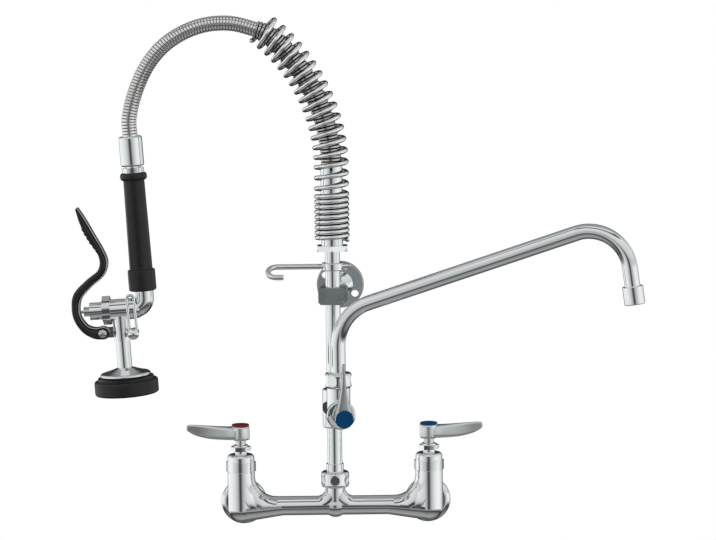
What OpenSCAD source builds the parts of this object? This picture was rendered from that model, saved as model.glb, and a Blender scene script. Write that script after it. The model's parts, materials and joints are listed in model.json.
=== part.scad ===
// Wall-mounted kitchen pre-rinse faucet with an add-on swing nozzle. Millimetres.
// X runs right along the wall, Y runs into the wall and Z runs up.
// The origin is on the wall plane, midway between the two supply axes.

/* [Mixing body] */
// Distance between the two supply axes
supply_spacing = 203.2; // [200:0.1:206]
// Distance from the wall to the axis of the riser
wall_gap = 57; // [55:0.5:60]
// Rise of the mixing tube above the supply axes given by the eccentric inlets
inlet_drop = 6; // [5:0.5:7]
// Outside diameter of the mixing tube
tube_d = 20.8; // [20.4:0.1:21.2]
// Outside diameter of a valve tower
tower_d = 29.5; // [29:0.25:31]
// Height of a tower top above the tube axis
tower_h = 38.6; // [37:0.2:40]
// Radius of the flare between a tower and the mixing tube
flare_r = 24; // [22:0.5:25]
// Height of the centre boss above the tube axis
boss_h = 20.7; // [20:0.1:22]
// Diameter of the water passages in the body
passage_d = 12; // [11:0.5:12.5]

/* [Supply inlets] */
// Length of the body stubs measured from the tower axis towards the wall
stub_len = 24; // [23:0.5:26]
// Thickness of the inlet washers
inlet_washer_t = 2; // [1.5:0.25:2.5]
// Width across the flats of the inlet nuts
inlet_nut_af = 27; // [26:0.5:28]
// Diameter of the round wall flanges
wall_flange_d = 50; // [48:1:54]
// Bore left open for the supply pipes
supply_bore_d = 14; // [12:0.5:15]

/* [Valve bonnets and handles] */
// Width across the flats of the bonnet hexagon
bonnet_af = 28; // [27:0.25:28.5]
// Height of the bonnet hexagon
bonnet_hex_h = 10.7; // [10:0.1:12]
// Height of the bonnet dome
bonnet_dome_h = 8.1; // [7.5:0.1:9]
// Width across the flats of the packing nut
packing_af = 19.5; // [18.5:0.25:20.5]
// Diameter of the valve stems
stem_d = 8; // [7:0.25:8.5]
// Distance from the stem axis to the lever tip
lever_len = 58.5; // [56:0.5:60]
// Diameter of a handle hub
hub_d = 19.5; // [19:0.25:20.5]
// Height of a handle hub
hub_h = 15; // [14.5:0.25:16]

/* [Riser] */
// Outside diameter of the riser tubes
riser_d = 15.9; // [15.5:0.1:16.3]
// Wall thickness of the riser and nozzle tubes
tube_wall = 1.2; // [1:0.1:1.5]
// Diameter of the union nut above the body
union_d = 30.2; // [29.5:0.1:31]
// Height of the union nut
union_h = 17; // [16:0.5:18]
// Height of the plain sleeve above the union nut
sleeve_h = 8.3; // [7.5:0.1:9]
// Bare length of the lower riser between the sleeve and the tee
lower_riser_h = 40; // [36:1:46]
// Bare length of the upper riser between the tee and the spring collar
upper_riser_h = 149; // [145:1:156]

/* [Add-on valve] */
// Height of the tee on the riser
tee_h = 42; // [40:0.5:44]
// Outside diameter of the tee
tee_d = 25.2; // [24.5:0.1:26]
// Diameter of the valve barrel that points to the front
barrel_d = 26; // [25:0.25:27]
// Length of the barrel from the riser axis to its front face
barrel_len = 50; // [50:0.5:53]
// Distance from the riser axis to the nozzle axis
nozzle_out = 36; // [35:0.5:36.5]
// Angle by which the valve is turned to the right of straight ahead
valve_turn = 8; // [0:1:12]

/* [Swing nozzle] */
// Outside diameter of the nozzle nut
nozzle_nut_d = 28.6; // [28:0.1:29.5]
// Height of the nozzle nut
nozzle_nut_h = 16.4; // [15.5:0.1:17.5]
// Straight length of nozzle tube above its nut
nozzle_rise = 27.6; // [24:0.1:30]
// Centreline radius of the lower nozzle bend
nozzle_bend_r = 50; // [46:0.5:54]
// Length of the straight climbing part
nozzle_run = 236; // [220:0.5:245]
// Slope of the climbing part
nozzle_slope = 19.2; // [17:0.1:21]
// Centreline radius of the bend above the outlet
crest_bend_r = 42; // [39:0.5:46]
// Angle between the outlet and straight down
outlet_lean = 8; // [6:0.5:11]
// Straight length of tube between the upper bend and the outlet collar
outlet_straight = 19.5; // [16:0.5:22]
// Length of the outlet collar
tip_len = 19; // [17:0.5:21]
// Outside diameter of the outlet collar
tip_d = 21.4; // [20.6:0.1:22.4]
// Bore of the open end of the outlet collar
outlet_bore_d = 17; // [16.6:0.1:17.4]
// Angle by which the nozzle stands away from the wall plane
nozzle_swing = 16; // [8:1:24]

/* [Wall bracket and hook] */
// Distance from the top of the upper riser down to the clamp centre
clamp_below = 47.5; // [46:0.5:50]
// Width of the clamp plate
clamp_w = 29; // [28:0.5:32]
// Height of the clamp plate
clamp_h = 18.5; // [17:0.5:20]
// Diameter of the bracket flange on the wall
flange_d = 51.5; // [50:0.5:54]
// Diameter of the screw holes in the bracket flange
flange_hole_d = 8; // [6:0.25:8.5]
// Radius of the circle on which the flange screws sit
flange_hole_r = 19; // [18:0.25:20]
// Distance from the top of the upper riser down to the underside of the hook ring
hook_below = 21; // [19.5:0.5:22]
// Diameter of the hook rod
hook_d = 5.8; // [5.4:0.1:6.4]
// Centreline radius of the turn of the hook
hook_turn_r = 9.5; // [9:0.25:11]

/* [Spring and hose] */
// Width across the flats of the spring collar
collar_af = 32; // [31:0.5:36]
// Height of the spring collar
collar_h = 6; // [5:0.25:6.5]
// Diameter of the spring wire
wire_d = 4.9; // [4.5:0.1:4.9]
// Outside diameter of the plain sleeve inside the spring
ferrule_d = 23.3; // [22.8:0.1:23.6]
// Outside diameter over the ribs of the free hose
hose_d = 16; // [15.4:0.1:16.4]

/* [Spray valve] */
// Diameter of the hose end sleeve
hose_end_d = 25; // [24:0.25:26]
// Diameter of the bead at the upper end of the grip
bead_d = 28.7; // [28:0.1:30]
// Upper diameter of the grip
grip_top_d = 22.5; // [22:0.1:23.5]
// Lower diameter of the grip
grip_low_d = 24.6; // [24:0.1:25.4]
// Diameter of the cuff below the grip
cuff_d = 29.5; // [29:0.25:31]
// Diameter of the valve barrel behind the trigger
spray_barrel_d = 22.6; // [22.2:0.1:23.4]
// Width across the flats of the spray valve bonnet
spray_bonnet_af = 27; // [26:0.25:27.5]
// Width of the trigger across the hand
trigger_w = 13.5; // [12.5:0.25:15]
// Diameter of the rubber bumper
bumper_d = 68.6; // [67:0.2:72]
// Height of the wide part of the bumper
bumper_h = 15.5; // [14.5:0.25:17]
// Wire diameter of the hang ring
link_wire_d = 3; // [2.7:0.1:3.2]

/* [Hidden] */
$fn = 40;
// Running clearance on the radius, and the clearance of parts that stand still
run = 0.06;
fit = 0.12;
// Overlap of solids that are joined, and overshoot of cuts
e = 0.5;
half = supply_spacing / 2;
body_top = inlet_drop + boss_h;
union_top = body_top + union_h;
sleeve_top = union_top + sleeve_h;
tee_bottom = sleeve_top + lower_riser_h;
tee_top = tee_bottom + tee_h;
base_z = tee_top + upper_riser_h;
// Heights of the bonnet stack above the tube axis
hex_top = tower_h + bonnet_hex_h;
dome_top = hex_top + bonnet_dome_h;
neck_top = dome_top + 3.8;
packing_top = neck_top + 6.1;
handle_low = packing_top + 5.7;
button_h = 2;
button_d = hub_d - 0.5;
// Depth of the hub recess that holds the screw head and the back of the button
recess_h = 4;
recess_d = 11;
// Height of the add-on valve axis above the bottom of the tee
valve_axis_up = 22;
valve_z = tee_bottom + valve_axis_up;
valve_handle_y = barrel_len + 16;
socket_top = valve_z + 26.6;
nozzle_base = socket_top + nozzle_nut_h + nozzle_rise;
socket_d = 25;
// Clamp, rod and wall flange of the bracket
clamp_z = base_z - clamp_below;
yoke_t = 14;
rod_d = 11;
rod_turn = 7.6;
rod_rise = 4.8;
rod_len = 54;
screw_off = 11;
hole_angle = -32.7;
// Spring: close curls, then open curls that lean over towards the left
wire_r = wire_d / 2;
coil_r = 16.3;
close_n = 9;
close_pitch = 5.5;
open_n = 17.5;
open_pitch = 11.4;
bow_r = 188;
bow_up = 89;
spring_low = collar_h;
foot_h = 3;
coil_start = collar_h + 5.6;
ferrule_len = 86.5;
// Route of the free hose as X and Z from the top of the upper riser
hose_points = [
  [-78.5, 236.5], [-94, 241.3], [-104, 243.2], [-115, 243.8], [-128, 242.8], [-140.5, 240],
  [-152, 235.7], [-163, 230], [-173.5, 222.8], [-183, 214], [-191.4, 203.6], [-198.5, 192],
  [-204.2, 179.8], [-208.8, 167.3], [-212.3, 155], [-214.7, 141.2], [-213.7, 125.2]
];
// Route of the ribbed sleeve between the spring axis and the hose
guard_points = [[-57, 223.8], [-62, 228.2], [-67.2, 231.9], [-72.8, 234.6]];
guard_leave = 43;
rib_r = hose_d / 2;
groove_r = rib_r - 0.8;
hose_bore_r = 5.5;
liner_r = 4;
hose_ribs = 70;
guard_ribs = 52;
guard_r = 11;
guard_end_r = 9.6;
guard_bore_r = 7.4;
// Spray valve frame: its origin and its lean
spray_at = [-202.4, -60];
spray_lean = 3.5;
hose_end_z = 185.5;
swivel_z = 153.5;
grip_top = 138.3;
bead_h = 8.4;
grip_low = 42.8;
cuff_low = 19.7;
barrel_z = 1;
barrel_face = -58.4;
bore_r = 5.1;
seat_room = -8.3;
elbow_x = 1.2;
stub_d = 17.2;
elbow_turn = 11;
leg_x = -26;
leg_d = 18.5;
neck_top_z = -32.6;
neck_d = 15.6;
neck_low = -61.8;
dome_low = -72;
dome_d = 54;
face_d = 50;
face_bore_d = 12;
bumper_top = -75;
pivot = [-46.1, -22.9];
pin_d = 4;
lug_t = 5;
link_pin = [-12.5, -24.5];
link_y = -13.3;
link_len = 37.5;
link_turn = 3.8;
trigger_line = [
  [-62.7, 111.5, 1.9], [-58.8, 101, 3.7], [-54.3, 90, 4.5], [-48.5, 78, 4.4], [-42, 65.5, 3.9],
  [-39.1, 53, 4.5], [-43.5, 41.4, 4.4], [-57, 31.2, 4.7], [-69.6, 19, 5.1], [-73.1, 6, 4.6],
  [-71.6, -6, 4.5], [-64.5, -17.2, 4.9], [-54.5, -22.6, 6.2], [-46.1, -22.9, 7.2]
];

function unit(v) = v / norm(v);
function steps(a, b, n) = [for (i = [0 : n]) a + (b - a) * i / n];

// Solid of revolution with rounded outer edges
module rounded(d, h, r) {
  rotate_extrude() {
    square([d / 2 - r, h]);
    translate([0, r]) square([d / 2, h - 2 * r]);
    translate([d / 2 - r, r]) circle(r);
    translate([d / 2 - r, h - r]) circle(r);
  }
}

// Flat ring
module ring(od, id, h) {
  difference() {
    cylinder(d = od, h = h);
    translate([0, 0, -e]) cylinder(d = id, h = h + 2 * e);
  }
}

// Hexagon prism by its width across the flats
module hex(af, h) {
  cylinder(d = af / cos(30), h = h, $fn = 6);
}

// Quarter or part bend of a round bar in the XZ plane round its own centre
module bend(turn, r, from, to) {
  rotate([90, 0, 0]) rotate([0, 0, from]) rotate_extrude(angle = to - from)
    translate([turn, 0]) circle(r);
}

// Round flats on the side of a nut
module nut_marks(d, depth, mark_d, h) {
  for (i = [0 : 5]) rotate([0, 0, 60 * i]) translate([d / 2 - depth, 0, h / 2])
    rotate([0, 90, 0]) cylinder(d = mark_d, h = depth + e);
}

module at_body() {
  translate([0, -wall_gap, inlet_drop]) children();
}

// Left (hot, side -1) or right (cold, side 1) tower
module at_tower(side) {
  translate([side * half, -wall_gap, inlet_drop]) children();
}

module at_valve() {
  translate([0, -wall_gap, valve_z]) rotate([0, 0, valve_turn]) children();
}

module at_nozzle() {
  translate([nozzle_out * sin(valve_turn), -wall_gap - nozzle_out * cos(valve_turn), 0]) children();
}

module at_spray() {
  translate([spray_at[0], -wall_gap, base_z + spray_at[1]]) rotate([0, -spray_lean, 0]) children();
}

module body_half() {
  tower_r = tower_d / 2;
  taper_x = half - 43.6;
  taper_drop = 3;
  tilt = atan(taper_drop / (half - taper_x));
  small_turn = boss_h - 0.2;
  flare_turn = flare_r + tower_r - 0.15;
  rotate([0, 90, 0]) cylinder(d = tube_d, h = half);
  translate([half, 0, -taper_drop]) cylinder(r = tower_r, h = tower_h + taper_drop);
  translate([half, 0, -taper_drop]) sphere(tower_r);
  translate([half, 0, -taper_drop]) rotate([0, -90 + tilt, 0])
    cylinder(r1 = tower_r - 0.35, r2 = tube_d / 2 + 0.1, h = norm([half - taper_x, taper_drop]));
  intersection() {
    translate([half - flare_turn, 0, tube_d / 2 + flare_r - 0.15]) bend(flare_turn, tower_r - 0.15, -90, 0);
    translate([0, 0, -2]) linear_extrude(tower_h) polygon([
      [half - flare_turn - e, -tube_d / 2 + 0.3], [half, -tower_r + 0.1],
      [half, tower_r - 0.1], [half - flare_turn - e, tube_d / 2 - 0.3]
    ]);
  }
  translate([small_turn, 0, small_turn]) bend(small_turn, tube_d / 2 - 0.2, 180, 270);
  translate([half, 0, 0]) rotate([-90, 0, 0]) cylinder(d = 23, h = stub_len);
}

module body_cuts() {
  cartridge_d = tower_d - 8.4;
  translate([half, 0, -9]) cylinder(d = cartridge_d, h = tower_h + 9 + e);
  rotate([0, 90, 0]) cylinder(d = passage_d, h = half);
  translate([half, 0, 0]) rotate([-90, 0, 0]) cylinder(d = supply_bore_d, h = stub_len + e);
}

module mixing_body() {
  color("silver") at_body() difference() {
    union() {
      body_half();
      mirror([1, 0, 0]) body_half();
      sphere(12.8);
      cylinder(d = 21.6, h = boss_h);
    }
    body_cuts();
    mirror([1, 0, 0]) body_cuts();
    cylinder(d = passage_d + 0.6, h = boss_h + e);
    translate([0, 0, boss_h - 1.5]) cylinder(d = 17, h = 1.5 + e);
  }
}

module inlet(side) {
  nut_y = -wall_gap + stub_len + inlet_washer_t;
  nut_len = 11;
  difference() {
    union() {
      translate([side * half, nut_y, inlet_drop]) rotate([-90, 0, 0]) hex(inlet_nut_af, nut_len);
      translate([side * half, nut_y + nut_len - e, 0]) rotate([-90, 0, 0])
        cylinder(d = 20, h = -nut_y - nut_len + e);
    }
    translate([side * half, nut_y - e, inlet_drop]) rotate([-90, 0, 0])
      cylinder(d = supply_bore_d, h = nut_len + e - 2);
    translate([side * half, nut_y + nut_len - 5, 0]) rotate([-90, 0, 0])
      cylinder(d = supply_bore_d, h = -nut_y - nut_len + 5 + e);
  }
}

module inlets() {
  color("silver") for (side = [-1, 1]) inlet(side);
}

module inlet_washers() {
  color("dimgray") for (side = [-1, 1])
    translate([side * half, -wall_gap + stub_len, inlet_drop]) rotate([-90, 0, 0])
      ring(22, supply_bore_d, inlet_washer_t);
}

module wall_flanges() {
  flange_t = 8;
  color("silver") for (side = [-1, 1]) translate([side * half, 0, 0]) rotate([90, 0, 0])
    difference() {
      rotate_extrude() {
        square([wall_flange_d / 2, 2]);
        square([wall_flange_d / 2 - 6, 6]);
        square([14, flange_t]);
        translate([wall_flange_d / 2 - 6, 2]) intersection() {
          circle(5.9);
          square(6);
        }
      }
      translate([0, 0, -e]) cylinder(d = 20 + 2 * fit, h = flange_t + 2 * e);
    }
}

// Valve cartridge inside a tower, bored for its stem
module cartridge(side) {
  at_tower(side) translate([0, 0, 2]) ring(tower_d - 8.4 - 2 * fit, stem_d + 2 * run, tower_h - 2);
}

module cartridges() {
  color("goldenrod") for (side = [-1, 1]) cartridge(side);
}

module bonnet(side) {
  shoulder = 4;
  at_tower(side) difference() {
    union() {
      translate([0, 0, tower_h]) hex(bonnet_af, bonnet_hex_h);
      translate([0, 0, hex_top - e]) rotate_extrude() {
        square([tower_d / 2 - shoulder - 0.3, bonnet_dome_h + e]);
        square([tower_d / 2 - 0.3, bonnet_dome_h + e - shoulder]);
        translate([tower_d / 2 - 0.3 - shoulder, bonnet_dome_h + e - shoulder]) circle(shoulder);
      }
      translate([0, 0, dome_top - e]) cylinder(d = 13, h = neck_top - dome_top + e);
    }
    translate([0, 0, tower_h - e]) cylinder(d = stem_d + 2 * run, h = neck_top - tower_h + 2 * e);
  }
}

module bonnets() {
  color("silver") for (side = [-1, 1]) bonnet(side);
}

module packing_nut(side) {
  at_tower(side) translate([0, 0, neck_top]) difference() {
    union() {
      hex(packing_af, 4.6);
      translate([0, 0, 4]) cylinder(d = 15.6, h = packing_top - neck_top - 4);
    }
    translate([0, 0, -e]) cylinder(d = stem_d + 2 * run, h = packing_top - neck_top + 2 * e);
  }
}

module packing_nuts() {
  color("silver") for (side = [-1, 1]) packing_nut(side);
}

// Stem from its foot to inside the hub, with a shoulder under the handle
module stem(low, shoulder_at, seat, into) {
  translate([0, 0, low]) cylinder(d = stem_d, h = seat + into - low);
  translate([0, 0, shoulder_at]) cylinder(d = 11, h = seat - shoulder_at);
}

module tower_stem(side) {
  at_tower(side) stem(0, packing_top + 0.4, handle_low, hub_h - recess_h - 1);
}

module stem_hot() {
  color("goldenrod") tower_stem(-1);
}

module stem_cold() {
  color("goldenrod") tower_stem(1);
}

// Lever arm seen from the side and half of it seen from above, for a length of one
arm_side = [
  [0, 0.4], [0.27, 0.4], [0.44, 0.8], [0.6, 1.7], [0.79, 4.4], [0.91, 7.6], [0.98, 10.6], [1, 13.2],
  [0.985, 15.6], [0.935, 16.9], [0.79, 16.6], [0.6, 15.8], [0.34, 14.7], [0, 13.8]
];
arm_plan = [
  [0, 9.2], [0.1, 8.5], [0.24, 6.3], [0.38, 4.7], [0.5, 3.5], [0.63, 2.5], [0.75, 1.9],
  [0.88, 1.6], [1.01, 1.4]
];

// Lever handle along +X, standing on z = 0, with the stem hole and the recess for its screw
module lever() {
  tall = hub_h / 15;
  wide = hub_d / 19.5;
  flank = [for (p = smooth(arm_plan)) [p[0] * lever_len, p[1] * wide]];
  n = len(flank);
  difference() {
    union() {
      cylinder(d = hub_d, h = hub_h);
      intersection() {
        linear_extrude(hub_h + 6)
          polygon(concat(flank, [for (i = [n - 1 : -1 : 0]) [flank[i][0], -flank[i][1]]]));
        translate([0, hub_d / 2, 0]) rotate([90, 0, 0]) linear_extrude(hub_d)
          polygon([for (p = smooth(arm_side)) [p[0] * lever_len, p[1] * tall]]);
      }
    }
    translate([0, 0, -e]) cylinder(d = stem_d + 2 * fit, h = hub_h - recess_h + 2 * e);
    translate([0, 0, hub_h - recess_h]) cylinder(d = recess_d, h = recess_h + e);
  }
}

// Screw in the hub recess, its shank in the stem end
module hub_screw() {
  translate([0, 0, hub_h - recess_h]) difference() {
    cylinder(d = recess_d - 1, h = 2.4);
    translate([0, 0, 1.2]) hex(4, 2);
  }
}

module hub_button() {
  plug_h = 1.2;
  translate([0, 0, hub_h]) rounded(button_d, button_h, 0.9);
  translate([0, 0, hub_h - plug_h]) cylinder(d = recess_d - 2 * fit, h = plug_h + e);
}

module at_handle(side) {
  at_tower(side) translate([0, 0, handle_low]) rotate([0, 0, side < 0 ? 180 : 0]) children();
}

module handle_hot() {
  color("lightgray") at_handle(-1) lever();
}

module handle_cold() {
  color("lightgray") at_handle(1) lever();
}

module handle_screw_hot() {
  color("gray") at_handle(-1) hub_screw();
}

module handle_screw_cold() {
  color("gray") at_handle(1) hub_screw();
}

module button_hot() {
  color("darkred") at_handle(-1) hub_button();
}

module button_cold() {
  color("navy") at_handle(1) hub_button();
}

module union_nut() {
  color("silver") translate([0, -wall_gap, body_top]) difference() {
    rounded(union_d, union_h, 3);
    rotate([0, 0, 30]) nut_marks(union_d, 0.9, 10, union_h);
    translate([0, 0, -e]) cylinder(d = 21.4, h = union_h - 3 + e);
    cylinder(d = riser_d + 2 * fit, h = union_h + e);
  }
}

module union_sleeve() {
  color("silver") translate([0, -wall_gap, union_top]) ring(18.6, riser_d + 2 * fit, sleeve_h);
}

module lower_riser() {
  foot = 3;
  socket = 10;
  color("silver") translate([0, -wall_gap, body_top]) difference() {
    union() {
      cylinder(d = 21, h = foot);
      cylinder(d = riser_d, h = tee_bottom + socket - body_top);
    }
    translate([0, 0, -e]) cylinder(d = riser_d - 2 * tube_wall, h = tee_bottom + socket);
  }
}

module upper_riser() {
  socket = 10;
  color("silver") translate([0, -wall_gap, tee_top - socket])
    ring(riser_d, riser_d - 2 * tube_wall, upper_riser_h + socket);
}

module valve_body() {
  socket = 10.2;
  color("silver") at_valve() difference() {
    union() {
      translate([0, 0, -valve_axis_up]) rounded(tee_d, tee_h, 1.5);
      rotate([90, 0, 0]) cylinder(d = barrel_d, h = barrel_len);
      translate([0, -nozzle_out, 0]) cylinder(d = socket_d, h = socket_top - valve_z);
    }
    translate([0, 0, -valve_axis_up - e]) cylinder(d = riser_d + 2 * fit, h = socket + e);
    translate([0, 0, tee_h - valve_axis_up - socket]) cylinder(d = riser_d + 2 * fit, h = socket + e);
    translate([0, 0, -valve_axis_up]) cylinder(d = passage_d, h = tee_h);
    rotate([90, 0, 0]) cylinder(d = 8, h = barrel_len);
    rotate([90, 0, 0]) translate([0, 0, 22]) cylinder(d = 16, h = barrel_len);
    translate([0, -nozzle_out, 0]) cylinder(d = passage_d, h = socket_top);
    translate([0, -nozzle_out, 14]) cylinder(d = 18.2, h = socket_top);
  }
}

module valve_bonnet() {
  ring_t = 7;
  hex_t = 5;
  neck_t = valve_handle_y - barrel_len - ring_t - hex_t - 0.6;
  color("silver") at_valve() translate([0, -barrel_len, 0]) rotate([90, 0, 0]) difference() {
    union() {
      rounded(31, ring_t, 1.8);
      translate([0, 0, ring_t - e]) hex(23, hex_t + e);
      translate([0, 0, ring_t + hex_t - e]) cylinder(d = 15, h = neck_t + e);
      translate([0, 0, -5]) cylinder(d = 16 - 2 * fit, h = 5 + e);
    }
    translate([0, 0, -5 - e]) cylinder(d = stem_d + 2 * run, h = valve_handle_y);
  }
}

module at_valve_handle() {
  at_valve() translate([0, -valve_handle_y, 0]) rotate([90, 0, 0]) rotate([0, 0, 90]) children();
}

module valve_stem() {
  seat_y = 27;
  color("goldenrod") at_valve() rotate([90, 0, 0]) {
    translate([0, 0, seat_y]) cylinder(d = 13, h = 3);
    translate([0, 0, seat_y + 2.5])
      cylinder(d = stem_d, h = valve_handle_y + hub_h - recess_h - 1 - seat_y - 2.5);
  }
}

module valve_handle() {
  color("lightgray") at_valve_handle() lever();
}

module valve_handle_screw() {
  color("gray") at_valve_handle() hub_screw();
}

module valve_button() {
  color("navy") at_valve_handle() hub_button();
}

module nozzle_nut() {
  cap_t = 3;
  color("silver") at_nozzle() translate([0, 0, socket_top]) difference() {
    rounded(nozzle_nut_d, nozzle_nut_h, 3);
    nut_marks(nozzle_nut_d, 1.1, 12, nozzle_nut_h);
    translate([0, 0, -e]) cylinder(d = 21.4, h = nozzle_nut_h - cap_t + e);
    cylinder(d = riser_d + 2 * run, h = nozzle_nut_h + e);
  }
}

// Nozzle tube: up, over to the climbing run, round the crest and down to the collar
nozzle_from = 90 + nozzle_slope;
rise_c = [nozzle_bend_r, nozzle_base];
run_a = rise_c + nozzle_bend_r * [cos(nozzle_from), sin(nozzle_from)];
run_b = run_a + nozzle_run * [cos(nozzle_slope), sin(nozzle_slope)];
crest_c = run_b - crest_bend_r * [cos(nozzle_from), sin(nozzle_from)];
nozzle_foot = socket_top - 11;
straightener_d = 14.6;
straightener_t = 3;
seat_low = 6;

// Frame at the end of the crest bend, Z along the water
module nozzle_end() {
  end = crest_c + crest_bend_r * [cos(outlet_lean), sin(outlet_lean)];
  translate([end[0], 0, end[1]]) rotate([0, 180 - outlet_lean, 0]) children();
}

// Solid along the nozzle with radius r, longer by over at both ends
module nozzle_bar(r, over) {
  lap = 0.8;
  bend_bar = r - 0.08;
  translate([0, 0, nozzle_foot - over]) cylinder(r = r, h = nozzle_base + lap - nozzle_foot + over);
  translate([rise_c[0], 0, rise_c[1]]) bend(nozzle_bend_r, bend_bar, nozzle_from, 180);
  translate([run_a[0], 0, run_a[1]]) rotate([0, 90 - nozzle_slope, 0]) translate([0, 0, -lap])
    cylinder(r = r, h = nozzle_run + 2 * lap);
  translate([crest_c[0], 0, crest_c[1]]) bend(crest_bend_r, bend_bar, outlet_lean, nozzle_from);
  nozzle_end() translate([0, 0, -lap]) cylinder(r = r, h = lap + outlet_straight + over);
}

module nozzle() {
  color("silver") at_nozzle() rotate([0, 0, -nozzle_swing]) difference() {
    union() {
      nozzle_bar(riser_d / 2, 0);
      translate([0, 0, socket_top + 0.3]) cylinder(d = 21.2, h = 3);
    }
    nozzle_bar(riser_d / 2 - tube_wall, e);
  }
}

// Outlet collar: narrow at the tube, then the seat of the straightener and the open end
module nozzle_tip() {
  color("silver") at_nozzle() rotate([0, 0, -nozzle_swing]) nozzle_end()
    translate([0, 0, outlet_straight]) difference() {
      rounded(tip_d, tip_len, 1);
      translate([0, 0, -e]) cylinder(d = 12.6, h = tip_len);
      translate([0, 0, seat_low]) cylinder(d = straightener_d + 2 * fit, h = straightener_t + e);
      translate([0, 0, seat_low + straightener_t]) cylinder(d = outlet_bore_d, h = tip_len);
    }
}

// Perforated flow straightener inside the outlet collar
module aerator() {
  color("dimgray") at_nozzle() rotate([0, 0, -nozzle_swing]) nozzle_end()
    translate([0, 0, outlet_straight + seat_low]) difference() {
      cylinder(d = straightener_d, h = straightener_t);
      for (i = [0 : 5]) rotate([0, 0, 60 * i]) translate([4.4, 0, -e])
        cylinder(d = 2.4, h = straightener_t + 2 * e);
      translate([0, 0, -e]) cylinder(d = 2.4, h = straightener_t + 2 * e);
    }
}

module at_clamp() {
  translate([0, -wall_gap, clamp_z]) rotate([0, 0, -rod_turn]) rotate([rod_rise, 0, 0]) children();
}

module clamp_block(front, thick, chamfer) {
  w = clamp_w / 2;
  translate([0, front + thick, -clamp_h / 2]) rotate([90, 0, 0])
    linear_extrude(thick) polygon([
      [-w + chamfer, 0], [w - chamfer, 0], [w, chamfer], [w, clamp_h - chamfer],
      [w - chamfer, clamp_h], [-w + chamfer, clamp_h], [-w, clamp_h - chamfer], [-w, chamfer]
    ]);
}

module riser_groove() {
  rotate([-rod_rise, 0, 0]) cylinder(d = riser_d + 2 * fit, h = 2 * clamp_h, center = true);
}

module bracket_plate() {
  split = 0.8;
  color("slategray") at_clamp() difference() {
    clamp_block(-split - 9, 9, 2.5);
    riser_groove();
    for (side = [-1, 1]) translate([side * screw_off, 0, 0]) rotate([90, 0, 0]) {
      cylinder(d = 4 + 2 * fit, h = 20);
      translate([0, 0, 9 + split - 2.2]) cylinder(d = 7, h = 4);
    }
  }
}

module bracket_yoke() {
  color("slategray") at_clamp() difference() {
    union() {
      clamp_block(0.8, yoke_t - 2, 2.5);
      translate([0, yoke_t - 2, 0]) rotate([-90, 0, 0]) cylinder(d = 17, h = 6);
    }
    riser_groove();
    for (side = [-1, 1]) translate([side * screw_off, -e, 0]) rotate([-90, 0, 0])
      cylinder(d = 4 + 2 * fit, h = 10);
    translate([0, 10, 0]) rotate([-90, 0, 0]) cylinder(d = rod_d + 2 * fit, h = 20);
  }
}

module clamp_screws() {
  color("gray") at_clamp() for (side = [-1, 1]) translate([side * screw_off, 9, 0])
    rotate([90, 0, 0]) {
      cylinder(d = 4, h = 17);
      translate([0, 0, 16.8]) cylinder(d = 6.6, h = 1.8);
    }
}

module bracket_rod() {
  color("silver") at_clamp() translate([0, 10.2, 0]) rotate([-90, 0, 0])
    cylinder(d = rod_d, h = rod_len - 10.2);
}

flange_x = wall_gap * tan(rod_turn);
flange_z = clamp_z + wall_gap * tan(rod_rise) / cos(rod_turn);

module bracket_flange() {
  color("slategray") difference() {
    translate([flange_x, 0, flange_z]) rotate([90, 0, 0]) difference() {
      union() {
        rounded(flange_d, 4.4, 1.6);
        cylinder(d = flange_d - 5, h = 3);
        translate([0, 0, 4]) cylinder(d = 27, h = 2);
        translate([0, 0, 4]) cylinder(d = 22.5, h = 8);
      }
      for (turn = [0, 180]) rotate([0, 0, hole_angle + turn]) translate([flange_hole_r, 0, -e])
        cylinder(d = flange_hole_d, h = 8);
    }
    at_clamp() translate([0, 20, 0]) rotate([-90, 0, 0])
      cylinder(d = rod_d + 2 * fit, h = rod_len - 19.8);
  }
}

// Finger hook: ring round the riser, rod to the left, half turn to the front, short return
module hook() {
  ring_h = 8.4;
  rod_r = hook_d / 2;
  reach = 59.5;
  drop = 30;
  lap = 0.6;
  color("silver") translate([0, -wall_gap, base_z - hook_below]) difference() {
    union() {
      rounded(22.8, ring_h, 1);
      translate([9, 0, ring_h / 2]) rotate([0, 90, 0]) cylinder(d = 8, h = 8);
      translate([-9.5, 0, ring_h / 2]) rotate([0, -90, 0]) cylinder(r = rod_r, h = reach + lap - 9.5);
      translate([-reach, 0, ring_h / 2]) rotate([drop, 0, 0]) translate([0, -hook_turn_r, 0]) {
        rotate([0, 0, 90]) rotate_extrude(angle = 180) translate([hook_turn_r, 0]) circle(rod_r - 0.08);
        translate([-lap, -hook_turn_r, 0]) rotate([0, 90, 0]) rounded(hook_d, 8, 1.2);
      }
    }
    translate([0, 0, -e]) cylinder(d = riser_d + 2 * fit, h = ring_h + 2 * e);
    translate([8, 0, ring_h / 2]) rotate([0, 90, 0]) cylinder(d = 4 + 2 * fit, h = 12);
  }
}

module hook_screw() {
  color("gray") translate([0, -wall_gap, base_z - hook_below + 4.2]) rotate([0, 90, 0]) {
    translate([0, 0, 8.3]) cylinder(d = 4, h = 9);
    translate([0, 0, 17.05]) rounded(7.5, 2.6, 0.8);
  }
}

module spring_collar() {
  spigot_d = riser_d - 2 * tube_wall - 2 * fit;
  color("silver") translate([0, -wall_gap, base_z]) difference() {
    union() {
      intersection() {
        rotate([0, 0, 30]) hex(collar_af, collar_h);
        translate([0, 0, -8]) cylinder(d1 = collar_af - 6, d2 = collar_af + 14, h = collar_h + 12);
      }
      translate([0, 0, -8]) cylinder(d = spigot_d, h = 8 + e);
    }
    translate([0, 0, -8 - e]) cylinder(d = 9.6, h = collar_h + 8 + 2 * e);
  }
}

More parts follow.
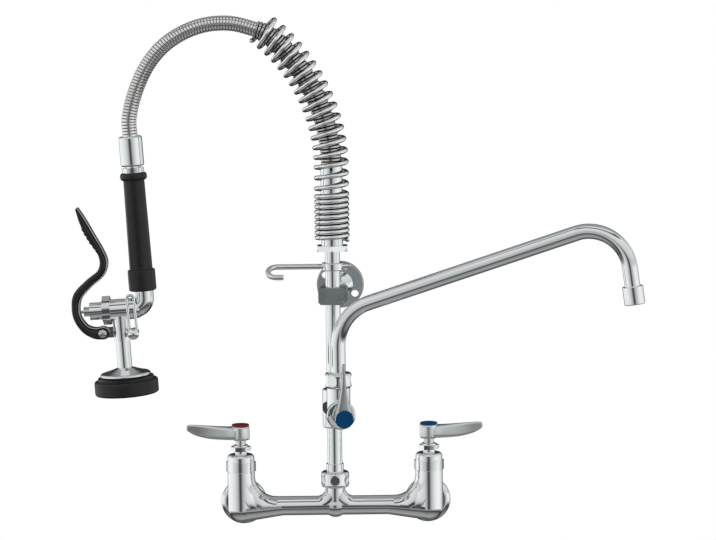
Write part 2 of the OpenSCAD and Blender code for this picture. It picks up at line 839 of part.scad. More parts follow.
module hose_ferrule_lower() {
  color("silver") translate([0, -wall_gap, base_z + collar_h]) difference() {
    cylinder(d = ferrule_d, h = ferrule_len);
    translate([0, 0, -e]) cylinder(d = 18, h = ferrule_len + 2 * e);
    translate([0, -ferrule_d / 2, ferrule_len - 3]) cube([2.4, 8, 6 + e], center = true);
  }
}

// Point and direction on the axis of the spring at a length s from the riser top
function axis_at(s) =
  s <= bow_up ? [0, 0, s] :
  let (a = (s - bow_up) / bow_r * 180 / PI) [-bow_r + bow_r * cos(a), 0, bow_up + bow_r * sin(a)];
function axis_dir(s) =
  s <= bow_up ? [0, 0, 1] :
  let (a = (s - bow_up) / bow_r * 180 / PI) [-sin(a), 0, cos(a)];

// Wire centre at a turn count t and a length s along the axis
function coil_at(t, s) =
  let (d = axis_dir(s), side = [d[2], 0, -d[0]])
  axis_at(s) + coil_r * (cos(360 * t) * side + sin(360 * t) * [0, 1, 0]);
function coil_s(t) =
  t <= close_n ? coil_start + t * close_pitch :
  coil_start + close_n * close_pitch + (t - close_n) * open_pitch;
coil_points = concat(
  [coil_at(0, spring_low), coil_at(0, spring_low + foot_h), coil_at(0.03, spring_low + foot_h + 2.1)],
  [for (i = [1 : 8 * (close_n + open_n)]) coil_at(i / 8, coil_s(i / 8))]
);
coil_gap = min([for (i = [0 : len(coil_points) - 8]) for (j = [i + 6 : min(i + 12, len(coil_points) - 1)])
  norm(coil_points[i] - coil_points[j])]) - wire_d;
echo(spring_least_gap = coil_gap);

// Direction of a route at point i
function course(p, i) =
  i == 0 ? unit(p[1] - p[0]) :
  i == len(p) - 1 ? unit(p[i] - p[i - 1]) :
  unit(unit(p[i] - p[i - 1]) + unit(p[i + 1] - p[i]));

// One ring of points round c, square to d
function hoop(c, d, side, r, n) =
  let (u = unit(side - (side * d) * d), v = cross(d, u))
  [for (k = [0 : n - 1]) c + r * (cos(360 * k / n) * u + sin(360 * k / n) * v)];

function skin(rings, n, first) = [for (i = [0 : rings - 2]) for (k = [0 : n - 1])
  let (a = first + i * n + k, b = first + i * n + (k + 1) % n) each [[a, a + n, b + n], [a, b + n, b]]];
function inner_skin(rings, n, first) = [for (f = skin(rings, n, first)) [f[0], f[2], f[1]]];

// Solid round tube through the points p with one radius each
module solid_tube(p, side, radii, n) {
  rings = len(p);
  pts = [for (i = [0 : rings - 1]) each hoop(p[i], course(p, i), side, radii[i], n)];
  last = (rings - 1) * n;
  caps = concat([for (k = [1 : n - 2]) [0, k, k + 1]], [for (k = [1 : n - 2]) [last, last + k + 1, last + k]]);
  polyhedron(pts, concat(skin(rings, n, 0), caps));
}

// Ribbed tube: p, radii are the outer rings, q the rings of the bore; both end on the same faces
module ribbed_tube(p, radii, q, bore, n) {
  side = [0, 1, 0];
  no = len(p);
  ni = len(q);
  outer = [for (i = [0 : no - 1]) each hoop(p[i], course(p, i), side, radii[i], n)];
  inner = [for (i = [0 : ni - 1]) each hoop(q[i], course(q, i), side, bore, n)];
  low = no * n;
  top_o = (no - 1) * n;
  top_i = low + (ni - 1) * n;
  start = [for (k = [0 : n - 1]) let (m = (k + 1) % n) each [[k, m, low + m], [k, low + m, low + k]]];
  stop = [for (k = [0 : n - 1]) let (m = (k + 1) % n)
    each [[top_o + k, top_i + m, top_o + m], [top_o + k, top_i + k, top_i + m]]];
  polyhedron(concat(outer, inner), concat(skin(no, n, 0), inner_skin(ni, n, low), start, stop));
}

// Smooth course through hand-set points, then points at even lengths along it
function knot(p, i, t) =
  let (n = len(p) - 1, a = p[max(i - 1, 0)], b = p[i], c = p[i + 1], d = p[min(i + 2, n)])
  0.5 * (2 * b + t * (c - a) + t * t * (2 * a - 5 * b + 4 * c - d) + t * t * t * (3 * b - a - 3 * c + d));
function smooth(p) = concat([for (i = [0 : len(p) - 2]) each [for (t = [0 : 0.125 : 0.99]) knot(p, i, t)]],
  [p[len(p) - 1]]);
function sums(p) = [for (i = 0, s = 0; i < len(p); i = i + 1,
  s = s + (i < len(p) ? norm(p[min(i, len(p) - 1)] - p[i - 1]) : 0)) s];
function along(p, s, at) = let (i = max([for (k = [0 : len(s) - 2]) if (s[k] <= at + 0.0001) k]))
  p[i] + (p[i + 1] - p[i]) * (at - s[i]) / (s[i + 1] - s[i]);
function even(p, n) = let (s = sums(p), all = s[len(s) - 1])
  [for (i = [0 : n]) along(p, s, min(all * i / n, all - 0.0001))];

function lift(p) = [for (q = p) [q[0], 0, q[1]]];
hose_course = smooth(lift(hose_points));
guard_low = spring_low + ferrule_len;
leave_s = bow_up + bow_r * guard_leave * PI / 180;
guard_course = concat([for (s = steps(guard_low, leave_s, 24)) axis_at(s)],
  smooth(concat([axis_at(leave_s)], lift(guard_points), [lift(hose_points)[0]])));

module spring() {
  color("silver") translate([0, -wall_gap, base_z]) spring_wire();
}

// The wire needs the radial direction of each ring, so its rings are set one by one
module spring_wire() {
  n = 6;
  rings = len(coil_points);
  pts = [for (i = [0 : rings - 1])
    let (s = i < 3 ? spring_low : coil_s((i - 2) / 8), t = i < 3 ? 0 : (i - 2) / 8,
      d = axis_dir(s), out = cos(360 * t) * [d[2], 0, -d[0]] + sin(360 * t) * [0, 1, 0])
    each hoop(coil_points[i], i == 0 ? [0, 0, 1] : course(coil_points, i), out, wire_r, n)];
  last = (rings - 1) * n;
  caps = concat([for (k = [1 : n - 2]) [0, k, k + 1]], [for (k = [1 : n - 2]) [last, last + k + 1, last + k]]);
  polyhedron(pts, concat(skin(rings, n, 0), caps));
}

// Ribbed stainless sleeve that carries the hose through the spring
module hose_guard() {
  p = even(guard_course, 2 * guard_ribs);
  crest = [for (i = [0 : 2 * guard_ribs]) i > 1.6 * guard_ribs ?
    guard_r - (guard_r - guard_end_r) * min(1, (i - 1.6 * guard_ribs) / 14) : guard_r];
  radii = [for (i = [0 : 2 * guard_ribs]) i % 2 == 1 ? crest[i] : crest[i] - 0.9];
  color("silver") translate([0, -wall_gap, base_z])
    ribbed_tube(p, radii, even(guard_course, 24), guard_bore_r, 8);
}

module hose() {
  p = even(hose_course, 2 * hose_ribs);
  radii = [for (i = [0 : 2 * hose_ribs]) i % 2 == 1 ? rib_r : groove_r];
  color("gray") translate([0, -wall_gap, base_z])
    ribbed_tube(p, radii, even(hose_course, 32), hose_bore_r, 8);
}

// Inner hose that carries the water from the collar to the hose end
module hose_liner() {
  low = [for (z = steps(spring_low, guard_low - 6, 2)) [0, 0, z]];
  p = concat(low, even(guard_course, 14), [for (i = [1 : 20]) even(hose_course, 20)[i]]);
  color("black") translate([0, -wall_gap, base_z])
    solid_tube(p, [0, 1, 0], [for (q = p) liner_r], 8);
}

module hose_ferrule() {
  len_z = hose_end_z - swivel_z;
  color("silver") at_spray() translate([0, 0, swivel_z]) difference() {
    rounded(hose_end_d, len_z, 2);
    translate([0, 0, -e]) cylinder(d = 7, h = len_z + 2 * e);
    translate([0, 0, -e]) cylinder(d = 13.6, h = 8 + e);
  }
}

// Hollow swivel stem that turns inside the hose end
module swivel_tube() {
  color("goldenrod") at_spray() translate([0, 0, grip_low]) ring(13.4, 8, swivel_z + 7 - grip_low);
}

// Hexagon above the bead of the grip
module swivel_nut() {
  color("silver") at_spray() translate([0, 0, grip_top + bead_h]) difference() {
    hex(20.5, swivel_z - 1.5 - grip_top - bead_h);
    translate([0, 0, -e]) cylinder(d = 13.4 + 2 * fit, h = 10);
  }
}

// Rubber grip with a round bead at its upper end
module grip() {
  len_z = grip_top - grip_low;
  color("black") at_spray() translate([0, 0, grip_low]) difference() {
    union() {
      cylinder(d1 = grip_low_d, d2 = grip_top_d, h = len_z + e);
      translate([0, 0, len_z]) rounded(bead_d, bead_h, 3.4);
    }
    translate([0, 0, -e]) cylinder(d = 13.4 + 2 * fit, h = len_z + bead_h + 2 * e);
  }
}

module cuff() {
  color("black") at_spray() translate([0, 0, cuff_low]) difference() {
    rounded(cuff_d, grip_low - cuff_low, 2);
    translate([0, 0, -e]) cylinder(d = 8, h = 40);
    translate([0, 0, -e]) cylinder(d = stub_d + 2 * fit, h = 14);
  }
}

// Elbow, barrel and leg of the spray valve, with the lugs for the trigger and the hang ring
module spray_body() {
  barrel_r = spray_barrel_d / 2;
  elbow_r_in = 9.9;
  barrel_back = elbow_x - elbow_turn;
  color("silver") at_spray() difference() {
    union() {
      translate([elbow_x, 0, barrel_z + elbow_turn])
        cylinder(r = elbow_r_in, h = cuff_low - barrel_z - elbow_turn);
      translate([0, 0, cuff_low - 1]) cylinder(d = stub_d, h = 13);
      translate([barrel_back, 0, barrel_z + elbow_turn]) bend(elbow_turn, elbow_r_in - 0.08, -90, 0);
      translate([-36, 0, barrel_z]) rotate([0, 90, 0]) cylinder(r = barrel_r, h = barrel_back + 36);
      translate([barrel_back, 0, barrel_z]) sphere(barrel_r - 0.4);
      translate([leg_x, 0, neck_top_z]) cylinder(d = leg_d, h = -neck_top_z);
      translate([pivot[0], lug_t / 2, pivot[1]]) rotate([90, 0, 0]) cylinder(r = 6.6, h = lug_t);
      translate([pivot[0], -lug_t / 2, pivot[1] - 5.5]) cube([leg_x - pivot[0], lug_t, 11]);
      translate([link_pin[0], 4, link_pin[1]]) rotate([90, 0, 0]) cylinder(d = 9, h = 15);
      translate([leg_x, -4, link_pin[1] - 4]) cube([link_pin[0] - leg_x, 8, 8]);
    }
    translate([-36 - e, 0, barrel_z]) rotate([0, 90, 0]) cylinder(d = 14, h = 36 + e + seat_room);
    translate([leg_x, 0, neck_top_z - e]) cylinder(d = 9, h = -neck_top_z);
    translate([elbow_x, 0, barrel_z + 2]) cylinder(d = 8, h = 40);
    translate([-14, 0, barrel_z]) rotate([0, 90, 0]) cylinder(d = 8, h = 14);
    translate([pivot[0], 20, pivot[1]]) rotate([90, 0, 0]) cylinder(d = pin_d + 2 * fit, h = 40);
    translate([link_pin[0], -3, link_pin[1]]) rotate([90, 0, 0]) cylinder(d = pin_d + 2 * fit, h = 20);
  }
}

module spray_bonnet() {
  hex_t = 8.6;
  outer_d = 18.6;
  color("silver") at_spray() translate([-36, 0, barrel_z]) rotate([0, -90, 0]) difference() {
    union() {
      hex(spray_bonnet_af, hex_t);
      cylinder(d = outer_d, h = -36 - barrel_face);
      translate([0, 0, -6]) cylinder(d = 14 - 2 * fit, h = 6 + e);
    }
    translate([0, 0, -6 - e]) cylinder(d = 5 + 2 * run, h = 40);
    translate([0, 0, -36 - barrel_face - 9]) cylinder(r = bore_r, h = 20);
  }
}

// Push rod: pin, guided head, rod and the seat end inside the body
module plunger() {
  color("gray") at_spray() translate([0, 0, barrel_z]) rotate([0, 90, 0]) {
    translate([0, 0, -68]) cylinder(d = 3, h = 4);
    translate([0, 0, -64.9]) cylinder(r = bore_r - run, h = 8.6);
    translate([0, 0, -57]) cylinder(d = 5, h = 39);
    translate([0, 0, -18]) cylinder(d = 11, h = 3);
  }
}

function trigger_side(p, s) = [for (i = [0 : len(p) - 1])
  let (a = p[max(i - 1, 0)], b = p[min(i + 1, len(p) - 1)],
    d = unit([b[0] - a[0], b[1] - a[1]]))
  [p[i][0], p[i][1]] + s * p[i][2] * [d[1], -d[0]]];

// Trigger lever: bent grip with finger bumps, forked over the lug of the body
module trigger() {
  fine = smooth(trigger_line);
  last = trigger_line[len(trigger_line) - 1];
  fork = lug_t + 0.7;
  outline = concat(trigger_side(fine, 1), [for (p = trigger_side(fine, -1)) p]);
  n = len(fine);
  color("black") at_spray() rotate([90, 0, 0]) difference() {
    translate([0, 0, -trigger_w / 2]) linear_extrude(trigger_w) {
      polygon(outline, [concat([for (i = [0 : n - 1]) i], [for (i = [n - 1 : -1 : 0]) n + i])]);
      translate([trigger_line[0][0], trigger_line[0][1]]) circle(trigger_line[0][2]);
      translate([last[0], last[1]]) circle(last[2]);
      for (i = [0 : 6]) translate([-60 + 2.42 * i, 92.5 - 4.6 * i]) circle(2.1);
    }
    translate([pivot[0], pivot[1], -fork / 2]) cylinder(r = 8.6, h = fork);
    translate([pivot[0], pivot[1] - 8.6, -fork / 2]) cube([12, 17.2, fork]);
    translate([pivot[0], pivot[1], -trigger_w]) cylinder(d = pin_d + 2 * run, h = 2 * trigger_w);
  }
}

module trigger_screw() {
  side = trigger_w / 2 + 0.4;
  head_t = 2.6;
  color("gray") at_spray() translate([pivot[0], side, pivot[1]]) rotate([90, 0, 0]) {
    translate([0, 0, -2.4]) cylinder(d = 8.5, h = 2.4);
    translate([0, 0, -e]) cylinder(d = pin_d, h = 2 * side + 2 * e);
    translate([0, 0, 2 * side]) difference() {
      rounded(9.3, head_t, 0.8);
      for (turn = [15, 105]) rotate([0, 0, turn]) translate([0, 0, head_t])
        cube([5.6, 1.2, 2.4], center = true);
    }
  }
}

module ring_pin() {
  low = 11 + 0.1;
  color("silver") at_spray() translate([link_pin[0], -3.4, link_pin[1]]) rotate([90, 0, 0]) {
    cylinder(d = pin_d, h = low + 1.2);
    translate([0, 0, low + 0.9]) rounded(12, 2.6, 0.8);
  }
}

// Long wire link that stands on its pin
module hang_ring() {
  r = link_wire_d / 2;
  color("silver") at_spray() translate([link_pin[0], link_y, link_pin[1]]) rotate([0, -1, 0]) {
    for (side = [-1, 1]) translate([side * link_turn, 0, 0]) cylinder(r = r, h = link_len);
    bend(link_turn, r, 180, 360);
    translate([0, 0, link_len]) bend(link_turn, r, 0, 180);
  }
}

module spray_neck() {
  color("silver") at_spray() translate([leg_x, 0, neck_low]) ring(neck_d, 9, neck_top_z - neck_low);
}

// Shallow cone with a rounded rim under the neck
module spray_dome() {
  rim = 2.4;
  edge = dome_d / 2 - rim;
  tall = neck_low - dome_low;
  color("silver") at_spray() translate([leg_x, 0, dome_low]) difference() {
    rotate_extrude() {
      translate([edge, rim]) circle(rim);
      polygon([
        [0, 0], [edge, 0], [edge + 0.5, 2 * rim - 0.1], [20, 6.1], [14, 8],
        [neck_d / 2 + 0.4, tall], [0, tall]
      ]);
    }
    translate([0, 0, -e]) cylinder(d = 9, h = 20);
  }
}

module bumper() {
  step_d = 60;
  color("black") at_spray() translate([leg_x, 0, bumper_top - bumper_h]) difference() {
    union() {
      rounded(bumper_d, bumper_h, 2.4);
      translate([0, 0, bumper_h - e]) cylinder(d = step_d, h = dome_low - bumper_top + e);
    }
    translate([0, 0, -e]) cylinder(d = face_d + 2 * fit, h = bumper_h - 2.5);
    cylinder(d = face_bore_d, h = 30);
  }
}

// Spray face with two circles of jets
module spray_face() {
  disc_t = 3.5;
  jet_d = 2.4;
  color("silver") at_spray() translate([leg_x, 0, bumper_top - bumper_h + 1.5]) difference() {
    cylinder(d = face_d, h = disc_t);
    for (i = [0 : 15]) rotate([0, 0, 22.5 * i]) translate([17, 0, -e])
      cylinder(d = jet_d, h = disc_t + 2 * e);
    for (i = [0 : 7]) rotate([0, 0, 45 * i]) translate([9, 0, -e])
      cylinder(d = jet_d, h = disc_t + 2 * e);
  }
}

mixing_body();
inlets();
inlet_washers();
wall_flanges();
cartridges();
bonnets();
packing_nuts();
stem_hot();
stem_cold();
handle_hot();
handle_cold();
handle_screw_hot();
handle_screw_cold();
button_hot();
button_cold();
union_nut();
union_sleeve();
lower_riser();
upper_riser();
valve_body();
valve_bonnet();
valve_stem();
valve_handle();
valve_handle_screw();
valve_button();
nozzle_nut();
nozzle();
nozzle_tip();
aerator();
bracket_plate();
bracket_yoke();
clamp_screws();
bracket_rod();
bracket_flange();
hook();
hook_screw();
spring_collar();
hose_ferrule_lower();
spring();
hose_guard();
hose();
hose_liner();
hose_ferrule();
swivel_tube();
swivel_nut();
grip();
cuff();
spray_body();
spray_bonnet();
plunger();
trigger();
trigger_screw();
ring_pin();
hang_ring();
spray_neck();
spray_dome();
bumper();
spray_face();
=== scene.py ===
"""Looks of the wall-mounted kitchen faucet. Metres, in the row frame: X right, Y into the wall, Z up."""

import json
import math

import bpy
from mathutils import Matrix, Vector


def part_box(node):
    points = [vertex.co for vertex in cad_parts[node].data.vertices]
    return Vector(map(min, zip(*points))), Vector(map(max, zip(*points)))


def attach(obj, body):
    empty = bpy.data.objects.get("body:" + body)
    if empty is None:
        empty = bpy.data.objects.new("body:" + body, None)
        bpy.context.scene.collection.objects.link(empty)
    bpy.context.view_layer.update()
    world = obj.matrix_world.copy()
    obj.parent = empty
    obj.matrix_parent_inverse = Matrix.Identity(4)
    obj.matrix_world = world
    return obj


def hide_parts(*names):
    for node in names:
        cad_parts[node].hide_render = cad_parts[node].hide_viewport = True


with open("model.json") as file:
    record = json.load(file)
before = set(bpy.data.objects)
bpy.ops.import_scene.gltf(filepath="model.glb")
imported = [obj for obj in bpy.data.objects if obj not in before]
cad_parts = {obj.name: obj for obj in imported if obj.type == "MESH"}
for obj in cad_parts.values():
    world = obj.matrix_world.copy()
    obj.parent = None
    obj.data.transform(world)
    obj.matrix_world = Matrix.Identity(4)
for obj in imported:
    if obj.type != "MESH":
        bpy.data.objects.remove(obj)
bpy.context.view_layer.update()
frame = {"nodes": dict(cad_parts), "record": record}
scene = bpy.context.scene
RISER_Y = -0.057
BASE_Z = 0.283
LEAN = math.radians(3.5)
SPRAY = Matrix.Translation((-0.2024, RISER_Y, 0.223)) @ Matrix.Rotation(-LEAN, 4, "Y")
PIVOT = Vector((-46.1, 0, -22.9)) / 1000  # trigger screw, in the frame of the spray valve


# Materials
def new_material(name):
    mat = bpy.data.materials.new(name)
    mat.use_nodes = True
    nt = mat.node_tree
    nt.nodes.clear()
    out = nt.nodes.new("ShaderNodeOutputMaterial")
    bsdf = nt.nodes.new("ShaderNodeBsdfPrincipled")
    nt.links.new(bsdf.outputs[0], out.inputs[0])
    return mat, nt, bsdf


def noise(nt, scale):
    coord = nt.nodes.new("ShaderNodeTexCoord")
    node = nt.nodes.new("ShaderNodeTexNoise")
    node.inputs["Scale"].default_value = scale
    node.inputs["Detail"].default_value = 4.0
    node.inputs["Roughness"].default_value = 0.5
    nt.links.new(coord.outputs["Object"], node.inputs["Vector"])
    return node


def ramp(nt, source, low, high, start=0.35, end=0.65):
    node = nt.nodes.new("ShaderNodeValToRGB")
    node.color_ramp.elements[0].position = start
    node.color_ramp.elements[1].position = end
    node.color_ramp.elements[0].color = (*low, 1)
    node.color_ramp.elements[1].color = (*high, 1)
    nt.links.new(source, node.inputs["Fac"])
    return node


def spread(nt, source, low, high):
    node = nt.nodes.new("ShaderNodeMapRange")
    node.inputs["From Min"].default_value = 0.3
    node.inputs["From Max"].default_value = 0.7
    node.inputs["To Min"].default_value = low
    node.inputs["To Max"].default_value = high
    nt.links.new(source, node.inputs["Value"])
    return node


def bump(nt, bsdf, source, strength, distance):
    node = nt.nodes.new("ShaderNodeBump")
    node.inputs["Strength"].default_value = strength
    node.inputs["Distance"].default_value = distance
    nt.links.new(source, node.inputs["Height"])
    nt.links.new(node.outputs[0], bsdf.inputs["Normal"])


def num(nt, op, a, b=None, clamp=False):
    node = nt.nodes.new("ShaderNodeMath")
    node.operation = op
    node.use_clamp = clamp
    for i, v in enumerate((a, b)):
        if isinstance(v, (int, float)):
            node.inputs[i].default_value = v
        elif v is not None:
            nt.links.new(v, node.inputs[i])
    return node.outputs[0]


def vec(nt, op, a, b=None):
    node = nt.nodes.new("ShaderNodeVectorMath")
    node.operation = op
    for i, v in enumerate((a, b)):
        if isinstance(v, bpy.types.NodeSocket):
            nt.links.new(v, node.inputs[i])
        elif v is not None:
            node.inputs[i].default_value = v
    return node.outputs["Value" if op in ("DOT_PRODUCT", "LENGTH") else "Vector"]


def times(nt, vector, share):
    node = nt.nodes.new("ShaderNodeVectorMath")
    node.operation = "SCALE"
    for v, socket in ((vector, node.inputs["Vector"]), (share, node.inputs["Scale"])):
        if isinstance(v, bpy.types.NodeSocket):
            nt.links.new(v, socket)
        else:
            socket.default_value = v
    return node.outputs["Vector"]


def parts(nt, vector):
    node = nt.nodes.new("ShaderNodeSeparateXYZ")
    nt.links.new(vector, node.inputs[0])
    return node.outputs


def join(nt, *values):
    node = nt.nodes.new("ShaderNodeCombineXYZ")
    for v, socket in zip(values, node.inputs):
        if isinstance(v, bpy.types.NodeSocket):
            nt.links.new(v, socket)
        else:
            socket.default_value = v
    return node.outputs[0]


def mixed_vector(nt, first, second, share):
    return vec(nt, "ADD", times(nt, first, num(nt, "SUBTRACT", 1.0, share)), times(nt, second, share))


def surface(name, low, high, metallic, rough, scale, bumps=(0.0, 0.0), spec=0.5, coat=0.0):
    """A material whose colour and roughness vary a little with a noise."""
    mat, nt, bsdf = new_material(name)
    n = noise(nt, scale)
    nt.links.new(ramp(nt, n.outputs["Fac"], low, high).outputs["Color"], bsdf.inputs["Base Color"])
    nt.links.new(spread(nt, n.outputs["Fac"], *rough).outputs[0], bsdf.inputs["Roughness"])
    bsdf.inputs["Metallic"].default_value = metallic
    bsdf.inputs["Specular IOR Level"].default_value = spec
    bsdf.inputs["Coat Weight"].default_value = coat
    if bumps[0]:
        fine = noise(nt, scale * 6)
        bump(nt, bsdf, fine.outputs["Fac"], *bumps)
    return mat


MATS = {
    "chrome": surface("chrome", (0.81, 0.845, 0.86), (0.86, 0.89, 0.90), 1.0, (0.04, 0.065), 14),
    "lever": surface("lever", (0.78, 0.815, 0.83), (0.83, 0.86, 0.875), 1.0, (0.25, 0.3), 40, (0.04, 0.0002)),
    "stem": surface("stem", (0.62, 0.61, 0.58), (0.72, 0.71, 0.69), 1.0, (0.12, 0.2), 60),
    "screw": surface("screw", (0.58, 0.58, 0.59), (0.7, 0.7, 0.71), 1.0, (0.15, 0.25), 60),
    "brass": surface("brass", (0.62, 0.46, 0.2), (0.72, 0.55, 0.27), 1.0, (0.2, 0.3), 50),
    "washer": surface("washer", (0.02, 0.02, 0.02), (0.035, 0.035, 0.035), 0.0, (0.6, 0.75), 90),
    "red": surface("red", (0.2, 0.008, 0.01), (0.25, 0.011, 0.014), 0.0, (0.2, 0.28), 60),
    "blue": surface("blue", (0.0, 0.068, 0.2), (0.0, 0.085, 0.25), 0.0, (0.3, 0.38), 60, spec=0.12),
    "mesh": surface("mesh", (0.4, 0.4, 0.4), (0.52, 0.52, 0.52), 1.0, (0.25, 0.35), 70),
    "grey_steel": surface("grey_steel", (0.15, 0.165, 0.175), (0.2, 0.215, 0.225), 0.75, (0.34, 0.44), 55,
                          (0.06, 0.0002)),
    "wire": surface("wire", (0.77, 0.80, 0.815), (0.82, 0.85, 0.86), 1.0, (0.06, 0.1), 30),
    "ribbed": surface("ribbed", (0.50, 0.48, 0.45), (0.64, 0.62, 0.59), 1.0, (0.2, 0.3), 45),
    "grip": surface("grip", (0.005, 0.005, 0.0055), (0.008, 0.008, 0.0085), 0.0, (0.36, 0.44), 120,
                    (0.1, 0.0002)),
    "trigger": surface("trigger", (0.011, 0.011, 0.012), (0.018, 0.018, 0.019), 0.0, (0.25, 0.36), 80,
                       (0.05, 0.0002), coat=0.15),
    "bumper": surface("bumper", (0.008, 0.008, 0.0085), (0.013, 0.013, 0.013), 0.0, (0.42, 0.52), 90,
                      (0.1, 0.0002)),
}

slot_of = {s["node"]: s["material_slot"] for s in frame["record"]["subparts"]}


def own_copy(name):
    """A copy of the node's material with its shader, position and normal in the object's frame."""
    mat = MATS[slot_of[name]].copy()
    mat.name = "look_" + name
    nt = mat.node_tree
    bsdf = next(n for n in nt.nodes if n.type == "BSDF_PRINCIPLED")
    coord = nt.nodes.new("ShaderNodeTexCoord")
    LOOKS[name] = mat
    return nt, bsdf, coord.outputs["Object"], coord.outputs["Normal"]


def lead_normal(nt, bsdf, vector):
    turn = nt.nodes.new("ShaderNodeVectorTransform")
    turn.vector_type = "NORMAL"
    turn.convert_from = "OBJECT"
    turn.convert_to = "WORLD"
    nt.links.new(vec(nt, "NORMALIZE", vector), turn.inputs[0])
    nt.links.new(turn.outputs[0], bsdf.inputs["Normal"])


def off_axis(nt, place, centre, axis):
    """The part of the way from the centre that is square to the axis."""
    rel = vec(nt, "SUBTRACT", place, centre)
    return vec(nt, "SUBTRACT", rel, times(nt, axis, vec(nt, "DOT_PRODUCT", rel, axis)))


def crowned(name, centre, axis, share, paired=False):
    """Reflections as on slightly rounded flats round an axis; paired pieces mirror at X = 0."""
    axis = tuple(axis)
    nt, bsdf, place, normal = own_copy(name)
    side = 1.0
    if paired:
        x, y, z = parts(nt, place)
        side = num(nt, "SIGN", x)
        place = join(nt, num(nt, "ABSOLUTE", x), y, z)
    x, y, z = parts(nt, vec(nt, "NORMALIZE", off_axis(nt, place, centre, axis)))
    out = join(nt, num(nt, "MULTIPLY", x, side), y, z)
    upright = num(nt, "SUBTRACT", 1.0, num(nt, "ABSOLUTE", vec(nt, "DOT_PRODUCT", normal, axis)), True)
    lead_normal(nt, bsdf, mixed_vector(nt, normal, out, num(nt, "MULTIPLY", upright, share)))


def domed(name, centre, axis, radius, share):
    """Reflections as on a slightly domed end face."""
    nt, bsdf, place, normal = own_copy(name)
    out = off_axis(nt, place, centre, axis)
    facing = num(nt, "ABSOLUTE", vec(nt, "DOT_PRODUCT", normal, axis))
    bend = times(nt, out, num(nt, "MULTIPLY", facing, share / radius))
    lead_normal(nt, bsdf, vec(nt, "ADD", normal, bend))


# Mixing body: height of its tube, place and radius of its towers, section of its flares, centre ball
TUBE_Z, SUPPLY_X, TOWER_R = 0.006, 0.1016, 0.01475
FLARE_X, FLARE_Z, FLARE_R, FLARE_HALF = 0.0630, 0.03425, 0.0386, 0.0146
FLARE_FROM, FLARE_TO, FLARE_LOW = 0.0628, 0.0985, -0.0021
TOWER_FROM, TOWER_FADE = 0.084, 0.013
BALL_R, BULGE_X, BULGE_Z = 0.0128, 0.00746, 0.00687
FLARE_MIN, STEEPEST = -0.6, 0.98  # STEEPEST keeps the square roots above 0


def soft_body():
    """The flares of the mixing body reflect as round castings, without creases at their flat sides."""
    nt, bsdf, place, normal = own_copy("mixing_body")
    x, y, z = parts(nt, vec(nt, "SUBTRACT", place, (0, RISER_Y, TUBE_Z)))
    ax, side = num(nt, "ABSOLUTE", x), num(nt, "SIGN", x)
    geometry = nt.nodes.new("ShaderNodeNewGeometry")
    _, fy, fz = parts(nt, geometry.outputs["True Normal"])
    front = num(nt, "SIGN", fy)
    to_c = join(nt, num(nt, "SUBTRACT", FLARE_X, ax), 0.0, num(nt, "SUBTRACT", FLARE_Z, z))
    rho = vec(nt, "LENGTH", to_c)
    share = num(nt, "DIVIDE", num(nt, "SUBTRACT", FLARE_R, rho), FLARE_HALF)
    share = num(nt, "MINIMUM", num(nt, "MAXIMUM", share, FLARE_MIN), STEEPEST)
    rise = num(nt, "SQRT", num(nt, "SUBTRACT", 1.0, num(nt, "MULTIPLY", share, share)))
    bend = vec(nt, "ADD", times(nt, vec(nt, "NORMALIZE", to_c), share),
               join(nt, 0.0, num(nt, "MULTIPLY", rise, front), 0.0))
    tx = num(nt, "MAXIMUM", num(nt, "DIVIDE", num(nt, "SUBTRACT", ax, SUPPLY_X), TOWER_R), -STEEPEST)
    ty = num(nt, "SQRT", num(nt, "SUBTRACT", 1.0, num(nt, "MULTIPLY", tx, tx)))
    tower = join(nt, tx, num(nt, "MULTIPLY", ty, front), 0.0)
    near = num(nt, "DIVIDE", num(nt, "SUBTRACT", ax, TOWER_FROM), TOWER_FADE, True)
    bx, by, bz = parts(nt, mixed_vector(nt, bend, tower, near))
    flare = join(nt, num(nt, "MULTIPLY", bx, side), by, bz)
    flat = num(nt, "MULTIPLY", num(nt, "GREATER_THAN", num(nt, "ABSOLUTE", fy), 0.985),
               num(nt, "LESS_THAN", num(nt, "ABSOLUTE", fz), 0.003))
    inside = num(nt, "MULTIPLY", num(nt, "GREATER_THAN", ax, FLARE_FROM), num(nt, "LESS_THAN", ax, FLARE_TO))
    mask = num(nt, "MULTIPLY", num(nt, "MULTIPLY", flat, inside), num(nt, "GREATER_THAN", z, FLARE_LOW))
    first = mixed_vector(nt, normal, flare, mask)
    nx, ny, nz = parts(nt, normal)
    away = num(nt, "ABSOLUTE", num(nt, "SUBTRACT", vec(nt, "LENGTH", join(nt, x, y, z)), BALL_R))
    ball = num(nt, "LESS_THAN", away, 0.0001)
    kx = num(nt, "SUBTRACT", 1.0, num(nt, "POWER", num(nt, "DIVIDE", ax, BULGE_X, True), 2.0))
    up_z = num(nt, "DIVIDE", num(nt, "MAXIMUM", z, 0.0), BULGE_Z, True)
    kz = num(nt, "SUBTRACT", 1.0, num(nt, "POWER", up_z, 2.0))
    bulge = join(nt, num(nt, "MULTIPLY", nx, kx), ny, num(nt, "MULTIPLY", nz, kz))
    lead_normal(nt, bsdf, mixed_vector(nt, first, bulge, ball))


FLANGE_X, FLANGE_Z, BOSS_R, BOSS_DOME = 0.0075, 0.2405, 0.0138, 60.0


